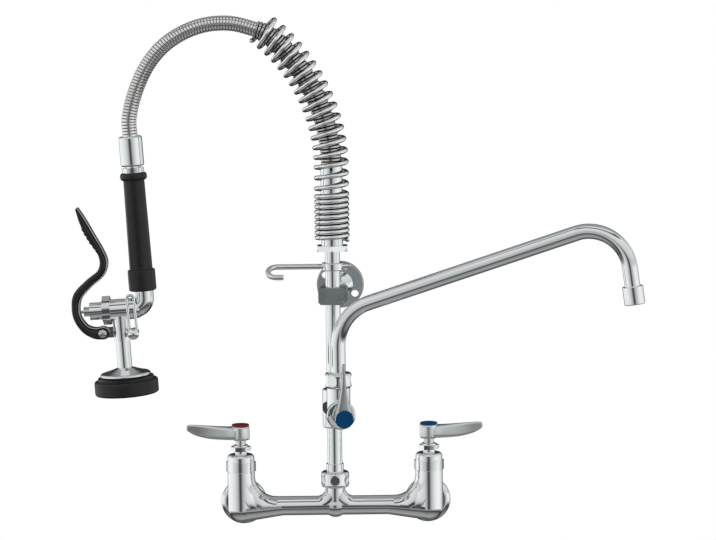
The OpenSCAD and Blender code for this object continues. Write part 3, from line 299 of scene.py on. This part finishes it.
def flange_look():
    """Satin face, painted shade on the rim and hole walls, bright domed boss."""
    nt, bsdf, place, normal = own_copy("bracket_flange")
    x, _, z = parts(nt, place)
    flat = join(nt, num(nt, "SUBTRACT", x, FLANGE_X), 0.0, num(nt, "SUBTRACT", z, FLANGE_Z))
    boss = num(nt, "LESS_THAN", vec(nt, "LENGTH", flat), BOSS_R)
    _, ny, _ = parts(nt, normal)
    rim = num(nt, "MULTIPLY", num(nt, "LESS_THAN", num(nt, "ABSOLUTE", ny), 0.6),
              num(nt, "SUBTRACT", 1.0, boss))
    fine = noise(nt, 60)
    face = vec(nt, "ADD", (0.52, 0.565, 0.59), times(nt, (0.08, 0.08, 0.08), fine.outputs["Fac"]))
    # Painted shade: the rim and the hole walls, the faces not turned to the front or back, are nearly black.
    colour = mixed_vector(nt, mixed_vector(nt, face, (0.84, 0.87, 0.885), boss), (0.02, 0.02, 0.022), rim)
    nt.links.new(colour, bsdf.inputs["Base Color"])
    rough = num(nt, "SUBTRACT", num(nt, "ADD", 0.42, num(nt, "MULTIPLY", fine.outputs["Fac"], 0.06)),
                num(nt, "MULTIPLY", boss, 0.38))
    nt.links.new(rough, bsdf.inputs["Roughness"])
    bsdf.inputs["Metallic"].default_value = 1.0
    lead_normal(nt, bsdf, vec(nt, "ADD", normal, times(nt, flat, num(nt, "MULTIPLY", boss, BOSS_DOME))))


def across(vector):
    """A direction of the spray valve's own frame, in the row frame."""
    return (SPRAY.to_3x3() @ Vector(vector)).normalized()


LOOKS = {}
crowned("bonnets", (SUPPLY_X, RISER_Y, 0), (0, 0, 1), 0.8, True)
crowned("packing_nuts", (SUPPLY_X, RISER_Y, 0), (0, 0, 1), 0.2, True)
crowned("spray_bonnet", SPRAY @ Vector((0, 0, 0.001)), across((1, 0, 0)), 0.5)
crowned("swivel_nut", SPRAY.translation, across((0, 0, 1)), 0.5)
domed("trigger_screw", SPRAY @ PIVOT, (0, 1, 0), 0.0047, 0.7)
pin_low, pin_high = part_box("ring_pin")
domed("ring_pin", (pin_low + pin_high) / 2, (0, 1, 0), 0.005, 0.7)
soft_body()
flange_look()
LOOKS["bracket_plate"] = surface("plate", (0.40, 0.445, 0.47), (0.46, 0.50, 0.52), 1.0, (0.3, 0.36), 55,
                                 (0.06, 0.0002))
LOOKS["clamp_screws"] = LOOKS["bracket_plate"]
LOOKS["bracket_yoke"] = MATS["lever"]
LOOKS["swivel_tube"] = MATS["chrome"]
LOOKS["valve_handle"] = surface("valve_lever", (0.52, 0.55, 0.565), (0.57, 0.6, 0.615), 1.0, (0.25, 0.3), 40,
                                (0.04, 0.0002))
for name, obj in frame["nodes"].items():
    obj.data.materials.clear()
    obj.data.materials.append(LOOKS.get(name, MATS[slot_of[name]]))


def painted_shade_metal(name, attribute, low, high, start, end, rough):
    """Metal with painted shade: its tone follows a value stored on the piece, dark in its grooves and gaps.
    """
    mat, nt, bsdf = new_material(name)
    value = nt.nodes.new("ShaderNodeAttribute")
    value.attribute_name = attribute
    node = ramp(nt, value.outputs["Fac"], low, high, start, end)
    fine = noise(nt, 45)
    nt.links.new(node.outputs["Color"], bsdf.inputs["Base Color"])
    nt.links.new(spread(nt, fine.outputs["Fac"], *rough).outputs[0], bsdf.inputs["Roughness"])
    bsdf.inputs["Metallic"].default_value = 1.0
    return mat


# Painted shade: the hose's grooves are nearly black; the sleeve inside the spring is darker overall and
# nearly black in its grooves.
HOSE_RIBS = painted_shade_metal("hose_ribs", "crest", (0.01, 0.01, 0.01), (0.84, 0.84, 0.83), 0.45, 0.9, (0.1, 0.16))
GUARD_RIBS = painted_shade_metal("guard_ribs", "crest", (0.006, 0.006, 0.006), (0.6, 0.585, 0.56), 0.45, 0.95,
                          (0.12, 0.18))
# Painted shade and highlight on the spring wire: nearly black at its top, bottom and inner side, and paler
# than the other chrome on its outer face.
COIL = painted_shade_metal("coil", "open", (0.02, 0.021, 0.023), (0.93, 0.95, 0.96), 0.04, 0.24, (0.05, 0.08))


# Mesh helpers
def make(name, verts, faces, slot, body, look=None):
    mesh = bpy.data.meshes.new(name)
    mesh.from_pydata([tuple(v) for v in verts], [], faces)
    mesh.validate()
    mesh.update()
    mesh.shade_smooth()
    obj = bpy.data.objects.new(name, mesh)
    scene.collection.objects.link(obj)
    mesh.materials.append(look or MATS[slot])
    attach(obj, body)
    return obj


def rings_to_mesh(rings):
    """Vertices and faces of a skin over rings of equal length, closed at both ends."""
    n = len(rings[0])
    verts = [p for ring in rings for p in ring]
    faces = []
    for i in range(len(rings) - 1):
        for k in range(n):
            m = (k + 1) % n
            faces.append((i * n + k, i * n + m, (i + 1) * n + m, (i + 1) * n + k))
    faces.append(tuple(range(n - 1, -1, -1)))
    faces.append(tuple((len(rings) - 1) * n + k for k in range(n)))
    return verts, faces


def tangents(pts):
    out = []
    for i in range(len(pts)):
        a, b = pts[max(i - 1, 0)], pts[min(i + 1, len(pts) - 1)]
        out.append((b - a).normalized())
    return out


def tube(pts, radii, side, sides):
    """Rings round pts; side gives the reference direction of each ring."""
    rings = []
    for p, t, r, s in zip(pts, tangents(pts), radii, side):
        u = (s - t * s.dot(t)).normalized()
        v = t.cross(u)
        rings.append([p + (u * math.cos(a) + v * math.sin(a)) * r
                      for a in (2 * math.pi * k / sides for k in range(sides))])
    return rings


def curve_through(points, per=12):
    """Catmull-Rom points through the given ones, per points to a span."""
    pts = [Vector(p) for p in points]
    n = len(pts) - 1
    fine = []
    for i in range(n):
        a, b, c, d = pts[max(i - 1, 0)], pts[i], pts[i + 1], pts[min(i + 2, n)]
        for k in range(per):
            u = k / per
            fine.append(0.5 * (2 * b + u * (c - a) + u * u * (2 * a - 5 * b + 4 * c - d)
                               + u ** 3 * (3 * b - a - 3 * c + d)))
    fine.append(pts[-1])
    return fine


def smooth_path(points, step):
    """Points at even steps along a smooth course, and the length of that course."""
    fine = curve_through(points, 24)
    total = sum((fine[i + 1] - fine[i]).length for i in range(len(fine) - 1))
    count = max(2, round(total / step))
    out, run, i = [fine[0]], 0.0, 0
    for k in range(1, count):
        want = total * k / count
        while run + (fine[i + 1] - fine[i]).length < want:
            run += (fine[i + 1] - fine[i]).length
            i += 1
        seg = fine[i + 1] - fine[i]
        out.append(fine[i] + seg * ((want - run) / seg.length))
    out.append(fine[-1])
    return out, total


def plane_point(x, z):
    """A point of the hose plane from X and the height over the riser top, both in millimetres."""
    return Vector((x / 1000, RISER_Y, BASE_Z + z / 1000))


# Spring, ribbed sleeve and hose, on the same lines as the CAD
BOW_R, BOW_UP = 188.0, 89.0
COIL_R, WIRE_R = 16.3, 2.45
CLOSE_N, CLOSE_PITCH, OPEN_N, OPEN_PITCH, COIL_START = 9, 5.5, 17.5, 11.4, 11.6
TURN_STEPS, WIRE_SIDES, RIB_SIDES = 36, 20, 28


def axis_at(s):
    """Point and direction on the axis of the spring, in millimetres from the riser top."""
    if s <= BOW_UP:
        return Vector((0, 0, s)), Vector((0, 0, 1))
    a = (s - BOW_UP) / BOW_R
    return (Vector((-BOW_R + BOW_R * math.cos(a), 0, BOW_UP + BOW_R * math.sin(a))),
            Vector((-math.sin(a), 0, math.cos(a))))


def coil_s(t):
    """Length along the axis after a number of turns."""
    if t <= CLOSE_N:
        return COIL_START + t * CLOSE_PITCH
    return COIL_START + CLOSE_N * CLOSE_PITCH + (t - CLOSE_N) * OPEN_PITCH


def build_spring():
    pts, side = [], []
    for i in range(int(TURN_STEPS * (CLOSE_N + OPEN_N)) + 1):
        t = i / TURN_STEPS
        c, d = axis_at(coil_s(t))
        out = (math.cos(2 * math.pi * t) * Vector((d.z, 0, -d.x))
               + math.sin(2 * math.pi * t) * Vector((0, 1, 0)))
        pts.append(c + out * COIL_R)
        side.append(out)
    pts = [Vector((0, RISER_Y, BASE_Z)) + p / 1000 for p in pts]
    verts, faces = rings_to_mesh(tube(pts, [WIRE_R / 1000] * len(pts), side, WIRE_SIDES))
    obj = make("spring_coil", verts, faces, "wire", "frame", COIL)
    # Painted shade mask, stored as 'open': 1 on the outer face of the wire, 0 at its top and bottom where the
    # turns meet, 0.1 on its inner side.
    clear = []
    for k in range(WIRE_SIDES):
        a = 2 * math.pi * k / WIRE_SIDES
        clear.append(max(0.0, 1 - abs(math.sin(a))) if math.cos(a) > 0 else 0.1)
    store(obj, "open", clear * len(pts))
    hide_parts("spring")


def rib_share(s, pitch, steep):
    """Height along a ribbed tube, 0 to 1: level crests with narrow grooves."""
    return min(1.0, steep * abs(math.sin(math.pi * s / pitch))) ** 0.7


def store(obj, name, values):
    """Keep one value for each vertex, for the shader."""
    data = obj.data.attributes.new(name, "FLOAT", "POINT").data
    for item, value in zip(data, values):
        item.value = value


def ribbed(name, path, lows, highs, shares, node, look):
    radii = [low + (high - low) * w for low, high, w in zip(lows, highs, shares)]
    verts, faces = rings_to_mesh(tube(path, radii, [Vector((0, 1, 0))] * len(path), RIB_SIDES))
    obj = make(name, verts, faces, "ribbed", "frame", look)
    # The rib height stored as 'crest' gives the painted shade: the rib materials turn the grooves nearly
    # black.
    store(obj, "crest", [w for w in shares for k in range(RIB_SIDES)])
    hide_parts(node)
    return obj


# Ribbed sleeve: where it starts on the axis and leaves it, then its way to the hose
GUARD_LOW, GUARD_LEAVE, GUARD_STEP, GUARD_GAP = 92.5, 43, 6, 4
GUARD_WAY = ((-57, 223.8), (-62, 228.2), (-67.2, 231.9), (-72.8, 234.6), (-78.5, 236.5))
GUARD_R, GUARD_TAPER, GUARD_TAPER_LEN, GUARD_GROOVE = 0.0109, 0.0013, 0.03, 0.0016
# Ribs: pitch, steepness of the flanks, step along the path; groove and crest radius of the hose
GUARD_PITCH, GUARD_STEEP, GUARD_FINE = 0.0034, 1.5, 0.0003
HOSE_PITCH, HOSE_STEEP, HOSE_FINE, HOSE_LOW, HOSE_HIGH = 0.0032, 2.1, 0.00025, 0.0070, 0.0080


def build_guard():
    pts_mm = []
    leave = BOW_UP + BOW_R * math.radians(GUARD_LEAVE)
    s = GUARD_LOW
    while s < leave - GUARD_GAP:
        pts_mm.append(axis_at(s)[0])
        s += GUARD_STEP
    pts_mm.append(axis_at(leave)[0])
    pts = [Vector((0, RISER_Y, BASE_Z)) + p / 1000 for p in pts_mm]
    pts += [plane_point(x, z) for x, z in GUARD_WAY]
    path, total = smooth_path(pts, GUARD_FINE)
    lows, highs, shares = [], [], []
    for i in range(len(path)):
        s = total * i / (len(path) - 1)
        crest = GUARD_R - GUARD_TAPER * max(0.0, 1 - (total - s) / GUARD_TAPER_LEN)
        lows.append(crest - GUARD_GROOVE)
        highs.append(crest)
        shares.append(rib_share(s, GUARD_PITCH, GUARD_STEEP))
    ribbed("guard_sleeve", path, lows, highs, shares, "hose_guard", GUARD_RIBS)


HOSE = ((-78.5, 236.5), (-94, 241.3), (-104, 243.2), (-115, 243.8), (-128, 242.8), (-140.5, 240),
        (-152, 235.7), (-163, 230), (-173.5, 222.8), (-183, 214), (-191.4, 203.6), (-198.5, 192),
        (-204.2, 179.8), (-208.8, 167.3), (-212.3, 155), (-214.7, 141.2), (-213.7, 125.2))


def build_hose():
    path, total = smooth_path([plane_point(x, z) for x, z in HOSE], HOSE_FINE)
    n = len(path)
    shares = [rib_share(total * i / (n - 1), HOSE_PITCH, HOSE_STEEP) for i in range(n)]
    obj = ribbed("hose_tube", path, [HOSE_LOW] * n, [HOSE_HIGH] * n, shares, "hose", HOSE_RIBS)


build_spring()
build_guard()
build_hose()

# Lever handles, rounder than the CAD ones and inside the same box
HUB_R, HUB_H, LEVER = 0.00975, 0.015, 0.0585
ARM_LOW = ((0, 0.4), (0.27, 0.4), (0.44, 0.8), (0.6, 1.7), (0.79, 4.4), (0.91, 7.6), (0.98, 10.6), (1, 13.2))
ARM_TOP = ((0, 13.8), (0.34, 14.7), (0.6, 15.8), (0.79, 16.6), (0.935, 16.9), (0.985, 15.6), (1, 13.2))
ARM_HALF = ((0, 9.2), (0.1, 8.5), (0.24, 6.3), (0.38, 4.7), (0.5, 3.5), (0.63, 2.5), (0.75, 1.9), (0.88, 1.6),
            (1.01, 1.4))
HUB_SIDES, ARM_SIDES, ARM_RINGS, ARM_POWER = 48, 36, 60, 2 / 4.5
ARM_START, ARM_SPAN, TIP_SHARE, TIP_HALF = 0.03, 0.969, 0.35, 0.004


def height_at(line, x):
    """Height of a plane line over x."""
    for p, q in zip(line, line[1:]):
        if p.x <= x <= q.x and q.x > p.x:
            return p.y + (q.y - p.y) * (x - p.x) / (q.x - p.x)
    return line[-1].y


def lever_mesh():
    """Hub and arm of a handle along +X, standing on z = 0."""
    def hub_ring(r, z):
        return [Vector((r * math.cos(a), r * math.sin(a), z))
                for a in (2 * math.pi * k / HUB_SIDES for k in range(HUB_SIDES))]

    prof = [(0.0080, 0.0), (0.0091, 0.0003), (0.0096, 0.0011), (HUB_R, 0.0022), (HUB_R, 0.0132),
            (0.0096, 0.0142), (0.0093, 0.0148), (0.0088, HUB_H), (0.0060, HUB_H)]
    verts, faces = rings_to_mesh([hub_ring(r, z) for r, z in prof])
    low_line, top_line, flank = (curve_through(p) for p in (ARM_LOW, ARM_TOP, ARM_HALF))
    rings = []
    for i in range(ARM_RINGS + 1):
        x = ARM_START + ARM_SPAN * math.sin(math.pi / 2 * i / ARM_RINGS)
        low, top, wide = (height_at(line, x) / 1000 for line in (low_line, top_line, flank))
        mid, half = (top + low) / 2, (top - low) / 2
        wide *= min(1.0, TIP_SHARE + half / TIP_HALF)
        ring = []
        for j in range(ARM_SIDES):
            a = 2 * math.pi * j / ARM_SIDES
            c, s = math.cos(a), math.sin(a)
            ring.append(Vector((x * LEVER, wide * math.copysign(abs(c) ** ARM_POWER, c),
                                mid + half * math.copysign(abs(s) ** ARM_POWER, s))))
        rings.append(ring)
    av, af = rings_to_mesh(rings)
    n = len(verts)
    return verts + av, faces + [tuple(i + n for i in f) for f in af]


def build_lever(node, body, where):
    verts, faces = lever_mesh()
    obj = make("shape_" + node, [where @ v for v in verts], faces, "lever", body, LOOKS.get(node))
    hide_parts(node)


VALVE_TURN, VALVE_Z, VALVE_REACH = math.radians(8), 0.114, 0.066
low_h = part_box("handle_cold")[0].z
build_lever("handle_cold", "cold_handle", Matrix.Translation((SUPPLY_X, RISER_Y, low_h)))
build_lever("handle_hot", "hot_handle",
            Matrix.Translation((-SUPPLY_X, RISER_Y, low_h)) @ Matrix.Rotation(math.pi, 4, "Z"))
valve_place = (Matrix.Translation((0, RISER_Y, VALVE_Z)) @ Matrix.Rotation(VALVE_TURN, 4, "Z")
               @ Matrix.Translation((0, -VALVE_REACH, 0)) @ Matrix.Rotation(math.pi / 2, 4, "X")
               @ Matrix.Rotation(math.pi / 2, 4, "Z"))
build_lever("valve_handle", "valve_lever", valve_place)


# Trigger: a bent cover with rounded edges and finger bumps, and a steel strip along its other side.
# Each point has X and Z in the frame of the spray valve and the half thickness, in millimetres.
TRIGGER = ((-62.7, 111.5, 1.9), (-58.8, 101, 3.7), (-54.3, 90, 4.5), (-48.5, 78, 4.4), (-42, 65.5, 3.9),
           (-39.1, 53, 4.5), (-43.5, 41.4, 4.4), (-57, 31.2, 4.7), (-69.6, 19, 5.1), (-73.1, 6, 4.6),
           (-71.6, -6, 4.5), (-64.5, -17.2, 4.9), (-54.5, -22.6, 6.2), (-46.1, -22.9, 7.2))
HALF_Y, STRIP = 13.5 / 2, 1.8
BAR_SIDES, BAR_POWER = 28, 2 / 3.6
BUMP_LOW, BUMP_TOP, BUMP_PITCH, BUMP_H, BUMP_SIDE = 64, 95, 5.0, 1.1, -38
FORK_SHIFT, FORK_SIZE = Vector((0.0017, 0, 0)), (0.0206, 0.0057, 0.0172)


def trigger_rings(middle, reach, half_y, bumps):
    """Rings along the trigger; middle(w) and reach(w) are the centre and half height of its section."""
    line = curve_through(TRIGGER, 10)
    d0 = Vector((line[0].x - line[1].x, line[0].y - line[1].y)).normalized()
    d1 = Vector((line[-1].x - line[-2].x, line[-1].y - line[-2].y)).normalized()

    def cap(p, d, shares):
        return [(Vector((p.x + d.x * p.z * k, p.y + d.y * p.z * k)), p.z, math.sqrt(1 - k * k))
                for k in shares]

    stations = (cap(line[0], d0, (0.995, 0.9, 0.7, 0.4)) + [(Vector((p.x, p.y)), p.z, 1.0) for p in line]
                + cap(line[-1], d1, (0.2, 0.4, 0.6, 0.75, 0.87, 0.95, 0.995)))
    rings = []
    for i, (p, w, k) in enumerate(stations):
        a, b = stations[max(i - 1, 0)][0], stations[min(i + 1, len(stations) - 1)][0]
        d = (b - a).normalized()
        nrm = Vector((d.y, -d.x))
        bumpy = 0.0
        if bumps and BUMP_LOW < p.y < BUMP_TOP and p.x < BUMP_SIDE:
            fade = min(1, (BUMP_TOP - p.y) / 4, (p.y - BUMP_LOW) / 4)
            bumpy = BUMP_H * abs(math.sin(math.pi * (p.y - BUMP_LOW) / BUMP_PITCH)) * fade
        ring = []
        for j in range(BAR_SIDES):
            g = 2 * math.pi * j / BAR_SIDES
            c, s = math.cos(g), math.sin(g)
            u = middle(w) * k + reach(w) * k * math.copysign(abs(c) ** BAR_POWER, c)
            if c > 0:
                u += bumpy * c
            y = half_y * math.copysign(abs(s) ** BAR_POWER, s)
            ring.append(SPRAY @ (Vector((p.x + nrm.x * u, y, p.y + nrm.y * u)) / 1000))
        rings.append(ring)
    return rings


def cut_fork(obj):
    """Open the slot in which the lug of the spray valve stands."""
    bpy.ops.mesh.primitive_cube_add(size=1)
    cutter = bpy.context.object
    cutter.matrix_world = SPRAY @ Matrix.Translation(PIVOT + FORK_SHIFT) @ Matrix.Diagonal((*FORK_SIZE, 1))
    mod = obj.modifiers.new("fork", "BOOLEAN")
    mod.operation = "DIFFERENCE"
    mod.solver = "EXACT"
    mod.object = cutter
    bpy.context.view_layer.update()
    graph = bpy.context.evaluated_depsgraph_get()
    shape = bpy.data.meshes.new_from_object(obj.evaluated_get(graph))
    obj.modifiers.clear()
    obj.data = shape
    bpy.data.objects.remove(cutter)


def build_trigger():
    verts, faces = rings_to_mesh(trigger_rings(lambda w: STRIP / 2, lambda w: w - STRIP / 2, HALF_Y, True))
    cover = make("shape_trigger", verts, faces, "trigger", "trigger_lever")
    cut_fork(cover)
    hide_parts("trigger")
    verts, faces = rings_to_mesh(trigger_rings(lambda w: STRIP / 2 - w, lambda w: STRIP / 2 - 0.02,
                                               HALF_Y - 0.3, False))
    strip = make("trigger_strip", verts, faces, "screw", "trigger_lever")
    cut_fork(strip)


build_trigger()

# Camera at the photo's angle: millimetres per pixel in the riser's plane, distance, width of the photo
SCALE, DIST, PHOTO_W, SENSOR = 1.0712, 2.6, 716, 36
pitch, roll = math.radians(6.5), -0.01134
target = Vector((0.0272, RISER_Y, 0.262))
forward = Vector((0, math.cos(pitch), -math.sin(pitch)))
up0 = Vector((0, math.sin(pitch), math.cos(pitch)))
right0 = Vector((1, 0, 0))
right = (right0 * math.cos(roll) + up0 * math.sin(roll)).normalized()
up = (up0 * math.cos(roll) - right0 * math.sin(roll)).normalized()
cam_data = bpy.data.cameras.new("camera")
cam = bpy.data.objects.new("camera", cam_data)
scene.collection.objects.link(cam)
scene.camera = cam
cam_data.sensor_width = SENSOR
cam_data.lens = SENSOR * DIST * 1000 / (PHOTO_W * SCALE)
cam_data.clip_start, cam_data.clip_end = 0.1, 50
m = Matrix((right, up, -forward)).transposed().to_4x4()
m.translation = target - forward * DIST
cam.matrix_world = m

# World: white to the camera, a plain studio of light and dark strips in reflections
world = bpy.data.worlds.new("studio")
scene.world = world
world.use_nodes = True
nt = world.node_tree
nt.nodes.clear()
wout = nt.nodes.new("ShaderNodeOutputWorld")
coord = nt.nodes.new("ShaderNodeTexCoord")
sep = nt.nodes.new("ShaderNodeSeparateXYZ")
nt.links.new(coord.outputs["Generated"], sep.inputs[0])


def stops(source, pairs):
    """Brightness that runs through the given pairs of position and value."""
    node = nt.nodes.new("ShaderNodeValToRGB")
    cr = node.color_ramp
    while len(cr.elements) < len(pairs):
        cr.elements.new(0.5)
    for el, (pos, val) in zip(cr.elements, pairs):
        el.position = pos
        el.color = (val, val, val, 1)
    nt.links.new(source, node.inputs["Fac"])
    return node.outputs["Color"]


def blend(first, second, share):
    node = nt.nodes.new("ShaderNodeMix")
    node.data_type = "RGBA"
    nt.links.new(share, node.inputs["Factor"])
    nt.links.new(first, node.inputs["A"])
    nt.links.new(second, node.inputs["B"])
    return node.outputs["Result"]


def band(source, low, high):
    """0 at low, 1 at high, held outside."""
    node = nt.nodes.new("ShaderNodeMapRange")
    node.inputs["From Min"].default_value = low
    node.inputs["From Max"].default_value = high
    nt.links.new(source, node.inputs["Value"])
    return node.outputs[0]


# Azimuth from behind over the left, 0.5 towards the camera, to behind over the right
turned = num(nt, "ARCTAN2", sep.outputs["X"], num(nt, "MULTIPLY", sep.outputs["Y"], -1))
azimuth = num(nt, "ADD", num(nt, "DIVIDE", turned, 2 * math.pi), 0.5)
height = num(nt, "ADD", num(nt, "MULTIPLY", sep.outputs["Z"], 0.5), 0.5)
belt = stops(azimuth, [(0.0, 0.05), (0.07, 0.05), (0.10, 0.95), (0.2, 1.05), (0.3, 0.92), (0.36, 0.78),
                       (0.41, 0.6), (0.45, 0.34), (0.468, 0.07), (0.498, 0.07), (0.515, 0.2), (0.535, 0.42),
                       (0.56, 0.56), (0.6, 0.72), (0.66, 0.95), (0.75, 1.0), (0.83, 0.75), (0.89, 0.5),
                       (0.93, 0.05), (1.0, 0.05)])
around = stops(azimuth, [(0.0, 0.05), (0.07, 0.1), (0.12, 0.9), (0.25, 1.1), (0.4, 1.0), (0.6, 1.0),
                         (0.75, 1.1), (0.88, 0.9), (0.93, 0.1), (1.0, 0.05)])
level = stops(height, [(0.0, 0.4), (0.04, 0.35), (0.1, 0.3), (0.17, 0.2), (0.24, 0.07), (0.285, 0.06),
                       (0.32, 0.3), (0.36, 0.55), (0.55, 0.56), (0.65, 0.69), (0.74, 0.73), (0.85, 0.82),
                       (0.93, 0.8), (1.0, 0.68)])
ring = stops(height, [(0.0, 1.0), (0.87, 1.0), (0.895, 0.1), (0.935, 0.1), (0.955, 1.0)])
ahead = stops(azimuth, [(0.0, 0.0), (0.24, 0.0), (0.3, 1.0), (0.7, 1.0), (0.76, 0.0)])
rear = stops(azimuth, [(0.0, 0.42), (0.14, 0.42), (0.24, 1.0), (0.76, 1.0), (0.86, 0.42), (1.0, 0.42)])
pole = band(num(nt, "ABSOLUTE", sep.outputs["Z"]), 0.45, 0.6)
sky = blend(num(nt, "MULTIPLY", around, level), num(nt, "MULTIPLY", rear, level), pole)
dark = num(nt, "MULTIPLY", num(nt, "SUBTRACT", 1.0, ring), ahead)
sky = num(nt, "MULTIPLY", sky, num(nt, "SUBTRACT", 1.0, dark))
belt_share = num(nt, "MULTIPLY", band(sep.outputs["Z"], 0.16, 0.06), band(sep.outputs["Z"], -0.34, -0.24))
studio = nt.nodes.new("ShaderNodeBackground")
studio.inputs["Strength"].default_value = 1.0
nt.links.new(blend(sky, belt, belt_share), studio.inputs["Color"])
plain = nt.nodes.new("ShaderNodeBackground")
plain.inputs["Color"].default_value = (1, 1, 1, 1)
plain.inputs["Strength"].default_value = 1.0
path_node = nt.nodes.new("ShaderNodeLightPath")
mixs = nt.nodes.new("ShaderNodeMixShader")
nt.links.new(path_node.outputs["Is Camera Ray"], mixs.inputs[0])
nt.links.new(studio.outputs[0], mixs.inputs[1])
nt.links.new(plain.outputs[0], mixs.inputs[2])
nt.links.new(mixs.outputs[0], wout.inputs[0])

scene.view_settings.view_transform = "Standard"
